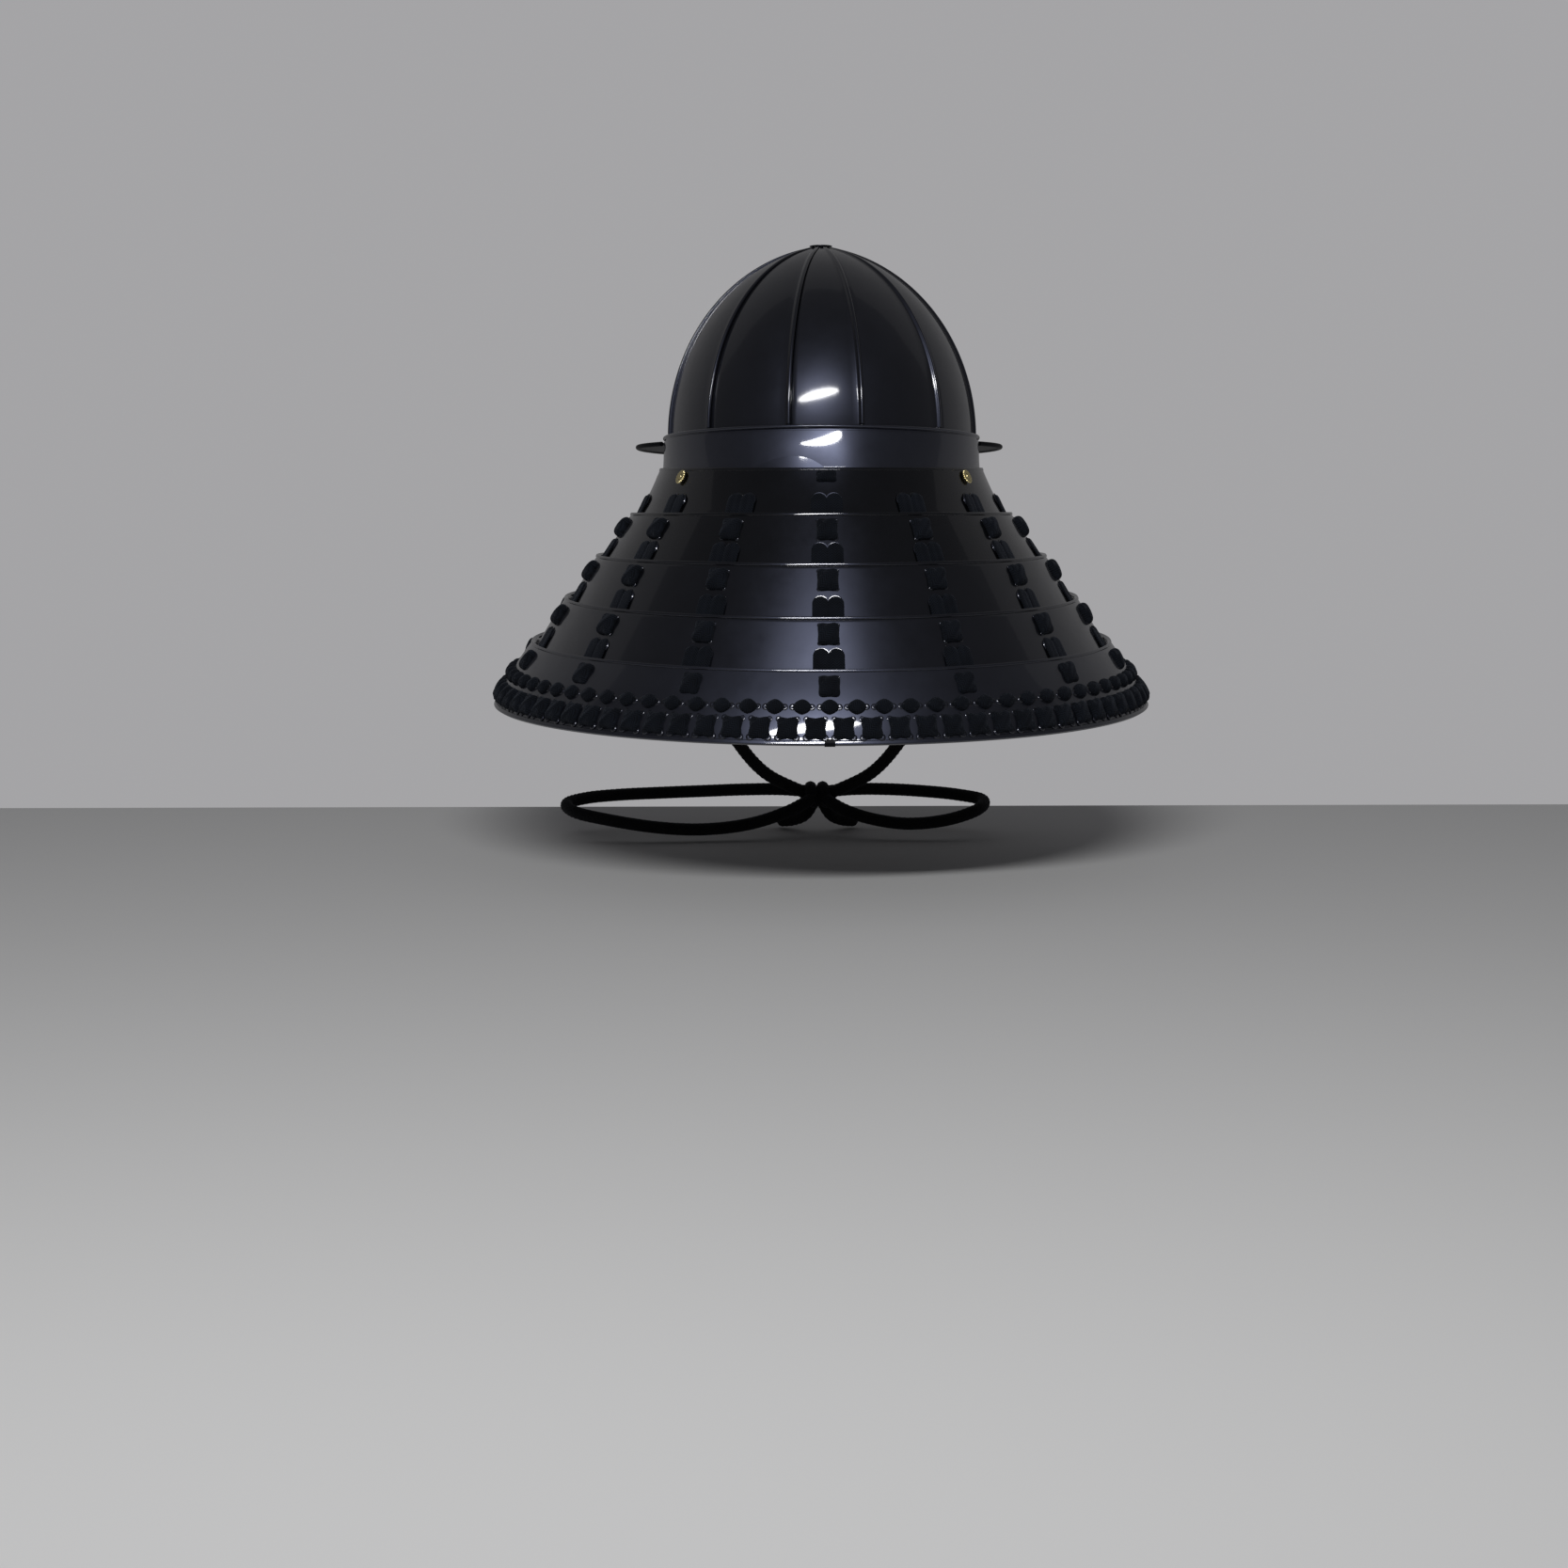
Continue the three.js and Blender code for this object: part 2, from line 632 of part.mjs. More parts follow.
function hipBand() {
  const innerJoint = drawnIn(bandJoint, bandThickness);
  const sections = [];
  for (let column = 0; column < bandSegments; column += 1) {
    const angle = (360 * column) / bandSegments;
    sections.push([
      bandPoint(angle, 2, 0),
      bandPoint(angle, 1, 0),
      bandPoint(angle, 0, 0),
      ringPoint(angle, bandOutside + bandLip, bandLipTop),
      ringPoint(angle, bandInside, bandLipTop),
      ringPoint(angle, bandInside, -plateFoot - 1),
      edgePoint(innerJoint, angle),
      edgePoint(lowered(innerJoint, bandSkirt), angle),
    ]);
  }
  return skinRing(sections);
}

// Visor

function visorEdgePoint(angle, inset, height) {
  const turn = degrees(angle);
  const reach = Math.cos(turn) > 0 ? visorBackRadius : visorFrontRadius;
  const x = (visorHalfWidth - inset) * Math.sin(turn);
  const y = visorCentre + (reach - inset) * Math.cos(turn);
  return vector(x, y, height).applyMatrix4(leanTurn);
}

// The visor: a plate with a beaded edge, and along its root a flange that lies on the hip band.
function visorBody() {
  const { start, full, thickness, foot, least, leastFoot } = visorFlange;
  const top = bandLipFoot - visorDrop;
  const under = top - visorThickness;
  const middle = top - visorThickness / 2;
  const bead = visorEdgeRadius;
  const neck = bead * visorEdgeNeck;
  const outline = [
    [0, 0], [0, -8], [0, -12], [1, -12], [1, -8], [1, -2], [8, -2], [9, -3], [9, 1], [8, 0],
  ];
  const sections = [];
  for (let column = 0; column <= visorColumns; column += 1) {
    const share = column / visorColumns;
    const band = THREE.MathUtils.lerp(visorRoot.band, 360 - visorRoot.band, share);
    const edge = THREE.MathUtils.lerp(visorRoot.edge, 360 - visorRoot.edge, share);
    const fromFront = Math.min(band, 360 - band);
    const fall = THREE.MathUtils.smoothstep(fromFront, start, full);
    const bend = THREE.MathUtils.lerp(least, 1, fall);
    const end = THREE.MathUtils.lerp(leastFoot, foot, fall);
    sections.push([
      bandPoint(band, visorTop, visorGap),
      bandPoint(band, bend, visorGap),
      bandPoint(band, end, visorGap),
      bandPoint(band, end, visorGap + thickness),
      bandPoint(band, bend, visorGap + thickness),
      ringPoint(band, bandOutside + visorGap + thickness, under),
      visorEdgePoint(edge, neck, under),
      visorEdgePoint(edge, 0, middle - bead),
      visorEdgePoint(edge, 0, middle + bead),
      visorEdgePoint(edge, neck, top),
    ]);
  }
  return skin(sections, outline);
}

// Stands a shape made along +Z on the visor's flange, pointing outwards.
function standOnFlange(angle, geometry) {
  const origin = bandPoint(angle, visorRivetSeat, visorGap + visorFlange.thickness);
  const outwards = origin.clone().sub(bandPoint(angle, visorRivetSeat, 0)).normalize();
  const sideways = vector(0, 0, 1).cross(outwards);
  const place = new THREE.Matrix4().makeBasis(sideways, outwards.clone().cross(sideways), outwards);
  return geometry.applyMatrix4(place.setPosition(origin));
}

function visorRivet(angle) {
  const wall = visorFlange.thickness + visorGap + bandThickness;
  const inside = -wall - 2 * bandFacetSag - faceGap;
  const foot = inside - visorRivetTail.rise;
  return solidOf(standOnFlange(angle, latheBody([
    [0, foot], [visorRivetTail.radius, foot], [visorRivetTail.radius, inside],
    [visorRivetPin, inside], [visorRivetPin, faceGap], [visorRivetHead.radius, faceGap],
    [0, visorRivetHead.rise],
  ])));
}

function visorRivetHole(angle) {
  const foot = -visorFlange.thickness - visorGap - bandThickness - 2 * cutReach;
  return solidOf(standOnFlange(angle, latheBody([
    [0, foot], [visorRivetHoleRadius, foot], [visorRivetHoleRadius, cutReach], [0, cutReach],
  ])));
}

// Chin cord

// The tab on a front rivet's tail, which carries the cord: it hangs inside the hip band.
function cordTab(angle) {
  const place = lamePlace(0, angle);
  const depth = bandDepth(place, rivetBelowEdge, rivetTail.radius) + rivetTail.rise;
  const pinAt = onLame(place, 0, rivetBelowEdge, -depth - tab.clearance);
  const inwards = vector(-pinAt.x, -pinAt.y, 0).normalize();
  const along = vector(-inwards.y, inwards.x, 0);
  const half = tab.width / 2;
  const outline = [
    [-half, tab.above], [-half, -tab.drop + half], [-half * tab.tip, -tab.drop],
    [half * tab.tip, -tab.drop], [half, -tab.drop + half], [half, tab.above],
  ];
  const face = (depth) => outline.map(([sideways, height]) => pinAt.clone()
    .addScaledVector(along, sideways)
    .addScaledVector(inwards, depth)
    .add(vector(0, 0, height)));
  return skin([face(0), face(tab.thickness)], outline);
}

function cordTube(points) {
  const route = new THREE.CatmullRomCurve3(points.map((point) => vector(...point)));
  const steps = Math.max(3, Math.round(route.getLength() / (cordRadius * cordStep)));
  const section = new THREE.Shape().absarc(0, 0, cordRadius, 0, Math.PI * 2, false);
  return solidOf(new THREE.ExtrudeGeometry(section, {
    extrudePath: route, steps, curveSegments: cordSides / 2, bevelEnabled: false,
  }));
}

// The bow's knot, or with a clearance the room that it takes out of the cords that enter it.
function bowKnot(clearance = 0) {
  const round = new THREE.SphereGeometry(0.5, 8, 6).rotateX(Math.PI / 2);
  const size = bowSize.map((length) => length + 2 * clearance);
  return solidOf(round.scale(...size).translate(...bowCentre));
}

// Assembly

const helmet = new THREE.Group();
const ribAngles = [...ribAnglesOneSide, ...ribAnglesOneSide.map((angle) => 360 - angle).reverse()];
const bowl = new THREE.Group();
ribAngles.forEach((start, index) => {
  const isLastPlate = index === ribAngles.length - 1;
  const end = isLastPlate ? ribAngles[0] + 360 : ribAngles[index + 1];
  const name = `bowl_plate_${String(index + 1).padStart(2, '0')}`;
  bowl.add(piece(name, bowlPlate(start, end), lacquer));
});
bowl.add(piece('crown_eyelet', crownEyelet(), lacquer));
helmet.add(bowl);

const bandHoles = [
  backKnotSlot(), ...rivetAngles.map(rivetHole), ...visorRivetAngles.map(visorRivetHole),
];
helmet.add(piece('hip_band', hipBand().subtract(wasm.Manifold.union(bandHoles)), bandLacquer));

const visorHoles = wasm.Manifold.union(visorRivetAngles.map(visorRivetHole));
helmet.add(piece('visor', visorBody().subtract(visorHoles), lacquer));
visorRivetAngles.forEach((angle, index) => {
  helmet.add(piece(`visor_rivet_${index + 1}`, visorRivet(angle), iron));
});

const guard = new THREE.Group();
for (let lame = 0; lame <= lastLame; lame += 1) {
  const cuts = laceSlots(lame);
  if (lame === 0) {
    cuts.push(backKnotSlot(), ...rivetAngles.map(rivetHole));
  }
  const body = lameBody(lame).subtract(wasm.Manifold.union(cuts));
  guard.add(piece(`neck_lame_${lame + 1}`, body, lacquer));
}
laceColumns.forEach((column, index) => {
  guard.add(piece(`lace_column_${index + 1}`, laceColumn(column), braid));
});
guard.add(piece('back_knot', backKnot(), braid));
rivetAngles.forEach((angle, index) => {
  guard.add(piece(`rivet_${index + 1}`, rivet(angle), gilt));
});
guard.add(piece('rim_clip', rimClip(), lacquer));
helmet.add(guard);

const chinCord = new THREE.Group();
chinCord.add(piece('cord_tab_left', cordTab(rivetAngles[2]), cordBlack));
chinCord.add(piece('cord_tab_right', cordTab(rivetAngles[3]), cordBlack));
for (const [name, points] of Object.entries(cordRoutes)) {
  chinCord.add(piece(name, cordTube(points).subtract(bowKnot(faceGap)), cordBlack));
}
chinCord.add(piece('bow_knot', bowKnot(), cordBlack));
helmet.add(chinCord);

export default helmet;
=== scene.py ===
# Kabuto: a black lacquered samurai helmet, seen from behind. Metres, +Z up, the visor towards -Y
# and the wearer's left towards +X. Angles run from the middle of the back (+Y) towards +X.
import math

import bpy
import mathutils
import numpy as np
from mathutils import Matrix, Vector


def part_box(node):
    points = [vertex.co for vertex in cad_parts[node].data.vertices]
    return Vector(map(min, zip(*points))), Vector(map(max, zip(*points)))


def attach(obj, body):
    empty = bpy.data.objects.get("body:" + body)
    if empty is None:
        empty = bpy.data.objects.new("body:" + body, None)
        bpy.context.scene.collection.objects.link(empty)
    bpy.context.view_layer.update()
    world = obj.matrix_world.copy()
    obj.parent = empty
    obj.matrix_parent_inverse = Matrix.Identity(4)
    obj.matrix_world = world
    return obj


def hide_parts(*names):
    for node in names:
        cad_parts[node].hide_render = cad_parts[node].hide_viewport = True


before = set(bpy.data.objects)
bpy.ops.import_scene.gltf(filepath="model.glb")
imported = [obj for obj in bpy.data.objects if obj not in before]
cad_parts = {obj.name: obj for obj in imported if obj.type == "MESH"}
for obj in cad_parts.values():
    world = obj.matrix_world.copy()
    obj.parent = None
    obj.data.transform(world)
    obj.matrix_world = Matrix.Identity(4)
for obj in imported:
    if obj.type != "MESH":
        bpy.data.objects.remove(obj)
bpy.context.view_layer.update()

# Camera. A long lens looks at the back of the helmet from three metres away and a little above,
# so that the neck guard faces the viewer and the visor's two tips show past the bowl.
photo_pixels = 1667
focal_pixels = 4764.6
camera_distance = 3.0675
camera_sideways = 0.0255
camera_height = 0.220
camera_yaw = math.radians(0.907)
camera_pitch = math.radians(8.505)

camera = bpy.data.objects.new("camera", bpy.data.cameras.new("camera"))
camera.data.lens = camera.data.sensor_width * focal_pixels / photo_pixels
camera.location = (
    camera_sideways + camera_distance * math.sin(camera_yaw),
    camera_distance * math.cos(camera_yaw),
    camera_height,
)
camera.rotation_euler = (math.pi / 2 - camera_pitch, 0, math.pi - camera_yaw)
bpy.context.scene.collection.objects.link(camera)
bpy.context.scene.camera = camera

# Chin cord. A soft round braid of black silk is tied to a cloth tab on each side inside the
# bowl's foot, and meets below in a bow: two loops, two short ends and a knot wound round them.
cord_radius = 0.0045
cord_step = 0.0009  # between the rings of a cord's skin
cord_sides = 32
strands_round = 4  # of each way of winding
strand_pitch = 0.0078
strand_depth = 0.13  # share of the radius between a strand's crown and its edge
chin_route = [
    [0.0976, -0.0258, -0.0526], [0.0976, -0.028, -0.072], [0.096, -0.034, -0.1],
    [0.09, -0.042, -0.14], [0.078, -0.052, -0.18], [0.06, -0.062, -0.214],
    [0.038, -0.071, -0.241], [0.0072, -0.0782, -0.2578],
]
bow_end_route = [
    [0.0025, -0.079, -0.262], [0.009, -0.084, -0.273], [0.017, -0.092, -0.278],
    [0.028, -0.102, -0.2805],
]


def mirrored(route):
    """A cord's route on the helmet's other side."""
    return [[-x, y, z] for x, y, z in route]


cord_routes = {
    "chin_cord_left": chin_route,
    "chin_cord_right": mirrored(chin_route),
    "bow_loop_left": [
        [0.003, -0.0845, -0.257], [0.026, -0.097, -0.257], [0.052, -0.103, -0.258],
        [0.082, -0.106, -0.2595], [0.112, -0.105, -0.2605], [0.142, -0.099, -0.261],
        [0.165, -0.087, -0.2615], [0.178, -0.069, -0.263], [0.172, -0.052, -0.266],
        [0.15, -0.043, -0.27], [0.112, -0.04, -0.2755], [0.08, -0.042, -0.277],
        [0.048, -0.048, -0.274], [0.022, -0.058, -0.267], [0.003, -0.0715, -0.259],
    ],
    "bow_loop_right": [
        [-0.003, -0.0845, -0.257], [-0.026, -0.097, -0.257], [-0.05, -0.103, -0.258],
        [-0.076, -0.103, -0.2595], [-0.1, -0.096, -0.261], [-0.117, -0.079, -0.2625],
        [-0.112, -0.058, -0.266], [-0.09, -0.047, -0.2715], [-0.062, -0.046, -0.274],
        [-0.036, -0.051, -0.271], [-0.018, -0.059, -0.266], [-0.003, -0.0715, -0.259],
    ],
    "bow_end_left": bow_end_route,
    "bow_end_right": mirrored(bow_end_route),
}
bow_centre = np.array([0, -0.078, -0.258])
bow_turn_radii = (0.0062, 0.0052)  # of a turn's centreline, fore and aft and up and down
bow_turn_shifts = (-0.0043, 0.0043)
bow_turn_slope = 0.0012
cord_black = (0.004, 0.004, 0.005, 1)
cord_worn = (0.016, 0.016, 0.019, 1)


def curve_through(route, step):
    """Points a step apart on a smooth curve through the route's points.

    Each stretch is a cubic that leaves and arrives along the slopes of a centripetal
    Catmull-Rom spline, so the curve has no loops between close points.
    """
    route = np.array(route)
    before_first = 2 * route[0] - route[1]
    after_last = 2 * route[-1] - route[-2]
    run = np.vstack([before_first, route, after_last])
    spans = np.sqrt(np.linalg.norm(np.diff(run, axis=0), axis=1))[:, None]
    early, own, late = spans[:-2], spans[1:-1], spans[2:]
    p0, p1, p2, p3 = run[:-3], run[1:-2], run[2:-1], run[3:]
    leave = ((p1 - p0) / early - (p2 - p0) / (early + own) + (p2 - p1) / own) * own
    arrive = ((p2 - p1) / own - (p3 - p1) / (own + late) + (p3 - p2) / late) * own
    t = np.linspace(0, 1, 60, endpoint=False)[None, :, None]
    p1, p2, leave, arrive = (part[:, None, :] for part in (p1, p2, leave, arrive))
    cubic = (
        (2 * t**3 - 3 * t**2 + 1) * p1 + (t**3 - 2 * t**2 + t) * leave
        + (3 * t**2 - 2 * t**3) * p2 + (t**3 - t**2) * arrive
    )
    fine = np.vstack([cubic.reshape(-1, 3), route[-1]])
    along = np.r_[0, np.cumsum(np.linalg.norm(np.diff(fine, axis=0), axis=1))]
    stops = np.linspace(0, along[-1], max(8, round(along[-1] / step)))
    return np.stack([np.interp(stops, along, fine[:, axis]) for axis in range(3)], -1)


def unit(vectors):
    """Vectors divided by their lengths."""
    return vectors / np.linalg.norm(vectors, axis=-1, keepdims=True)


def skin(grid, loops=False, uv=None):
    """A closed skin over a grid of points whose rows are sections, each closed on itself.

    Neighbouring points are joined by four-sided faces. The first and last sections are closed
    by a ladder of faces between their two halves, unless the piece loops back on itself. The
    sign of the enclosed volume turns the faces outwards.
    """
    rows, columns = grid.shape[:2]
    index = np.arange(rows * columns).reshape(rows, columns)
    if loops:
        index = np.vstack([index, index[:1]])
    after = np.roll(index, -1, axis=1)
    faces = [np.stack([index[:-1], index[1:], after[1:], after[:-1]], -1).reshape(-1, 4)]
    if not loops:
        rung = np.arange(columns // 2 - 1)
        ladder = np.stack([rung, rung + 1, columns - 2 - rung, columns - 1 - rung], -1)
        faces += [ladder, ladder[:, ::-1] + (rows - 1) * columns]
    faces = np.concatenate(faces)
    points = grid.reshape(-1, 3)
    a, b, c, d = (points[faces[:, corner]] for corner in range(4))
    volume = np.sum(a * (np.cross(b, c) + np.cross(c, d)))
    return points, faces if volume > 0 else faces[:, ::-1], uv


def make_piece(name, skins, material, nodes=(), crease=38):
    """Joins skins into one object that stands for CAD nodes and rides on the helmet."""
    shifts = np.cumsum([0] + [len(points) for points, _, _ in skins])
    points = np.concatenate([part[0] for part in skins])
    faces = np.concatenate([part[1] + shift for part, shift in zip(skins, shifts)])
    mesh = bpy.data.meshes.new(name)
    mesh.vertices.add(len(points))
    mesh.vertices.foreach_set("co", np.float32(points).ravel())
    mesh.loops.add(faces.size)
    mesh.loops.foreach_set("vertex_index", np.int32(faces).ravel())
    mesh.polygons.add(len(faces))
    mesh.polygons.foreach_set("loop_start", np.arange(0, faces.size, 4, dtype=np.int32))
    mesh.polygons.foreach_set("use_smooth", np.ones(len(faces), bool))
    mesh.update(calc_edges=True)
    mesh.set_sharp_from_angle(angle=math.radians(crease))
    if all(part[2] is not None for part in skins):
        uv = np.concatenate([part[2] for part in skins])
        layer = mesh.uv_layers.new(name="weave")
        layer.data.foreach_set("uv", np.float32(uv[faces.ravel()]).ravel())
    mesh.materials.append(material)
    made = bpy.data.objects.new(name, mesh)
    bpy.context.scene.collection.objects.link(made)
    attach(made, "root")
    if nodes:
        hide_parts(*nodes)
    return made


def new_material(name, **settings):
    """A material with its Principled BSDF's plain sockets set, and its nodes and links."""
    material = bpy.data.materials.new(name)
    material.use_nodes = True
    nodes, links = material.node_tree.nodes, material.node_tree.links
    shader = nodes["Principled BSDF"]
    for socket, value in settings.items():
        shader.inputs[socket.replace("_", " ")].default_value = value
    return material, nodes, links, shader


def feed(links, socket, value):
    """Sets a socket to a plain value, or links another socket to it."""
    if isinstance(value, bpy.types.NodeSocket):
        links.new(value, socket)
    else:
        socket.default_value = value


def noise_node(nodes, links, place, scale, detail=2.0, roughness=0.5):
    """A Noise Texture read at a place, and its values between 0 and 1."""
    noise = nodes.new("ShaderNodeTexNoise")
    settings = {"Vector": place, "Scale": scale, "Detail": detail, "Roughness": roughness}
    for socket, value in settings.items():
        feed(links, noise.inputs[socket], value)
    return noise.outputs["Fac"]


def share_node(nodes, links, value, low, high):
    """How far a value has come from low to high, between 0 and 1."""
    ranged = nodes.new("ShaderNodeMapRange")
    for socket, setting in {"Value": value, "From Min": low, "From Max": high}.items():
        feed(links, ranged.inputs[socket], setting)
    return ranged.outputs["Result"]


def mixed_color(nodes, links, factor, low, high):
    """A colour mixed between two, which are colours or sockets."""
    made = nodes.new("ShaderNodeMix")
    made.data_type = "RGBA"
    feed(links, made.inputs["Factor"], factor)
    feed(links, made.inputs[6], low)
    feed(links, made.inputs[7], high)
    return made.outputs[2]


def bumped_normal(nodes, links, height, distance, strength, normal=None):
    """The normal that a height in shares of a distance gives, on top of another normal."""
    bump = nodes.new("ShaderNodeBump")
    for socket, value in {"Height": height, "Distance": distance, "Strength": strength}.items():
        feed(links, bump.inputs[socket], value)
    if normal is not None:
        links.new(normal, bump.inputs["Normal"])
    return bump.outputs["Normal"]


def full_turn(count):
    """Angles spaced evenly once round, the last one step short of the first."""
    return np.linspace(0, 2 * np.pi, count, endpoint=False)


def quarter_round(way, over, blunt=0.95):
    """Rises as a quarter circle over the first stretch of a way, from a blunt end."""
    return np.sqrt(1 - np.clip(1 - way / over, 0, blunt) ** 2)


def cord_skin(line, across, loops=False, rounded_end=False):
    """A braided cord's skin along a line of points.

    Round the line the radius swells and dips as the product of two families of helices that
    wind opposite ways, which leaves the plump diamonds of a round braid. A rounded end draws
    in as a quarter circle over its last radius.
    """
    gaps = np.linalg.norm(np.diff(line, axis=0), axis=1)
    travelled = np.r_[0, np.cumsum(gaps)]
    ahead = unit(np.roll(line, -1, 0) - np.roll(line, 1, 0) if loops else np.gradient(line, axis=0))
    side = unit(across - np.sum(ahead * across, -1, keepdims=True) * ahead)
    up = np.cross(ahead, side)
    turn = full_turn(cord_sides)[None, :]
    whole_turns = max(1, round(travelled[-1] / strand_pitch)) * strand_pitch / travelled[-1]
    wind = (travelled * whole_turns * 2 * np.pi / strand_pitch)[:, None]
    strand = np.cos(strands_round * turn + wind) * np.cos(strands_round * turn - wind)
    radius = cord_radius * (1 - strand_depth * (1 - np.sqrt(np.abs(strand))))
    if rounded_end:
        radius = radius * quarter_round(travelled[-1] - travelled, cord_radius, 0.995)[:, None]
    spoke = np.cos(turn)[..., None] * side[:, None] + np.sin(turn)[..., None] * up[:, None]
    return skin(line[:, None] + radius[..., None] * spoke, loops)


silk, nodes, links, shader = new_material(
    "black_silk_cord", Roughness=0.88, Specular_IOR_Level=0.25, Sheen_Weight=0.15,
    Sheen_Roughness=0.5, Sheen_Tint=(0.35, 0.37, 0.42, 1),
)
place = nodes.new("ShaderNodeTexCoord").outputs["Object"]
fuzz = noise_node(nodes, links, place, 1400, 3)
worn = share_node(nodes, links, fuzz, 0.35, 0.8)
links.new(mixed_color(nodes, links, worn, cord_black, cord_worn), shader.inputs["Base Color"])
links.new(bumped_normal(nodes, links, fuzz, 0.0002, 0.6), shader.inputs["Normal"])

turn_angles = full_turn(48)
bow_skins = []
for shift in bow_turn_shifts:
    turn_line = bow_centre + np.stack([
        shift + bow_turn_slope * np.sin(turn_angles),
        bow_turn_radii[0] * np.cos(turn_angles),
        bow_turn_radii[1] * np.sin(turn_angles),
    ], -1)
    bow_skins.append(cord_skin(turn_line, np.array([1.0, 0, 0]), loops=True))
bow_knot = make_piece("bow_knot_turns", bow_skins, silk, ["bow_knot"])

for name, route in cord_routes.items():
    line = curve_through(route, cord_step)
    across = np.array([0, 0, 1.0]) if "loop" in name else np.array([0, 1.0, 0.2])
    part = cord_skin(line, across, rounded_end="end" in name)
    make_piece(f"{name}_braid", [part], silk, [name])

# Bowl. Twelve iron plates under black lacquer stand edge over edge from the hip band to the
# crown. Each turns its first edge up into a thin rib, and tucks the other under the next one.
bowl_half_width = 0.1045
bowl_height = 0.1314
bowl_arc_radius = 0.123
bowl_length_ratio = 1.15
bowl_lean = math.radians(8)
plate_thickness = 0.0016
plate_foot = 0.008
plate_tuck = math.radians(3.3)
plate_tuck_drop = 0.0029
plate_side_gap = 0.00036
rib_degrees = [13.3, 47, 78.9, 108, 137, 166]
rib_height = 0.0022
rib_width = 0.0026
rib_foot = 0.0008
rib_rise = 0.0012  # height over which a rib grows out of the plate's foot
rib_fade = 0.7
rib_largest_share = 0.3
rib_shoulder = 0.55  # share of a rib's height below its round top
rib_fillet = 1.2  # reach of the hollow at a rib's foot, in half ribs
plate_edge_radius = 0.0005
plate_bend = (0.08, 0.06)  # where a plate bends down to its tuck, in shares of its width
first_row_height = 0.0009
arch_rows = 120
crown_hole = 0.0063
lacquer_black = (0.0015, 0.0016, 0.002, 1)
lacquer_bloom = (0.005, 0.0055, 0.007, 1)
ground_tint = (0.62, 0.68, 1.0, 1)

arch_offset = bowl_arc_radius - bowl_half_width
arch_scale = bowl_height / math.sqrt(bowl_arc_radius**2 - arch_offset**2)


def lean(points):
    """Leans points forward about the ear-to-ear axis, as the bowl and its ring lean."""
    x, y, z = np.moveaxis(points, -1, 0)
    turned_y = y * math.cos(bowl_lean) - z * math.sin(bowl_lean)
    return np.stack([x, turned_y, y * math.sin(bowl_lean) + z * math.cos(bowl_lean)], -1)


def ring_point(angle, half_width, height):
    """A point of the leaning ring's frame: an ellipse 1.15 times as long as it is wide."""
    angle, half_width, height = np.broadcast_arrays(angle, half_width, height)
    x, y = half_width * np.sin(angle), bowl_length_ratio * half_width * np.cos(angle)
    return lean(np.stack([x, y, height], -1))


def bowl_profile(arch):
    """Radius, height and normal of the pointed arch that the bowl's half profile follows."""
    radius = bowl_arc_radius * np.cos(arch) - arch_offset
    height = bowl_arc_radius * np.sin(arch) * arch_scale
    return radius, height, unit(np.stack([np.cos(arch) * arch_scale, np.sin(arch)], -1))


def plate_outline(start, end, half_rib, half_gap, rib):
    """One section of a plate, as angles and offsets from the bowl's face.

    Outside: up the rib's wall, over its half round top, down a hollow fillet to the plate,
    across it, over its rounded far edge and in under the next plate. Inside: the same way back,
    one thickness deeper. Both ways have as many points.
    """
    near, far = start - half_rib + half_gap, end - half_rib - half_gap
    end_of_tuck, fillet_end = end + plate_tuck, start + half_rib * (1 + rib_fillet)
    top = np.linspace(np.pi, 0.15, 8)
    fillet = np.linspace(0, 1, 5)[1:]
    flat = np.linspace(0, 1, 13)[1:-1]
    rib_middle, rib_half = (near + start + half_rib) / 2, (start + half_rib - near) / 2
    outer_angles = np.concatenate([
        [near], rib_middle + rib_half * np.cos(top), start + half_rib * (1 + rib_fillet * fillet),
        fillet_end + (far - fillet_end) * flat,
        [far - 1.4 * half_gap, far - 0.4 * half_gap, far, far, end_of_tuck],
    ])
    outer_offsets = np.concatenate([
        [-0.1 * plate_thickness], rib * (rib_shoulder + (1 - rib_shoulder) * np.sin(top)),
        rib * rib_shoulder * (1 - fillet) ** 2, 0 * flat,
        [0, -0.24 * plate_edge_radius, -plate_edge_radius, -plate_tuck_drop, -plate_tuck_drop],
    ])
    bend_from, bend_to = (far - share * (end - start) for share in plate_bend)
    upper_count, deep = len(outer_angles) - 3, -plate_tuck_drop - plate_thickness
    inner_angles = np.r_[np.linspace(near, bend_from, upper_count), bend_to, far, end_of_tuck]
    inner_offsets = np.r_[np.full(upper_count, -plate_thickness), deep, deep, deep]
    return np.r_[outer_angles, inner_angles[::-1]], np.r_[outer_offsets, inner_offsets[::-1]]


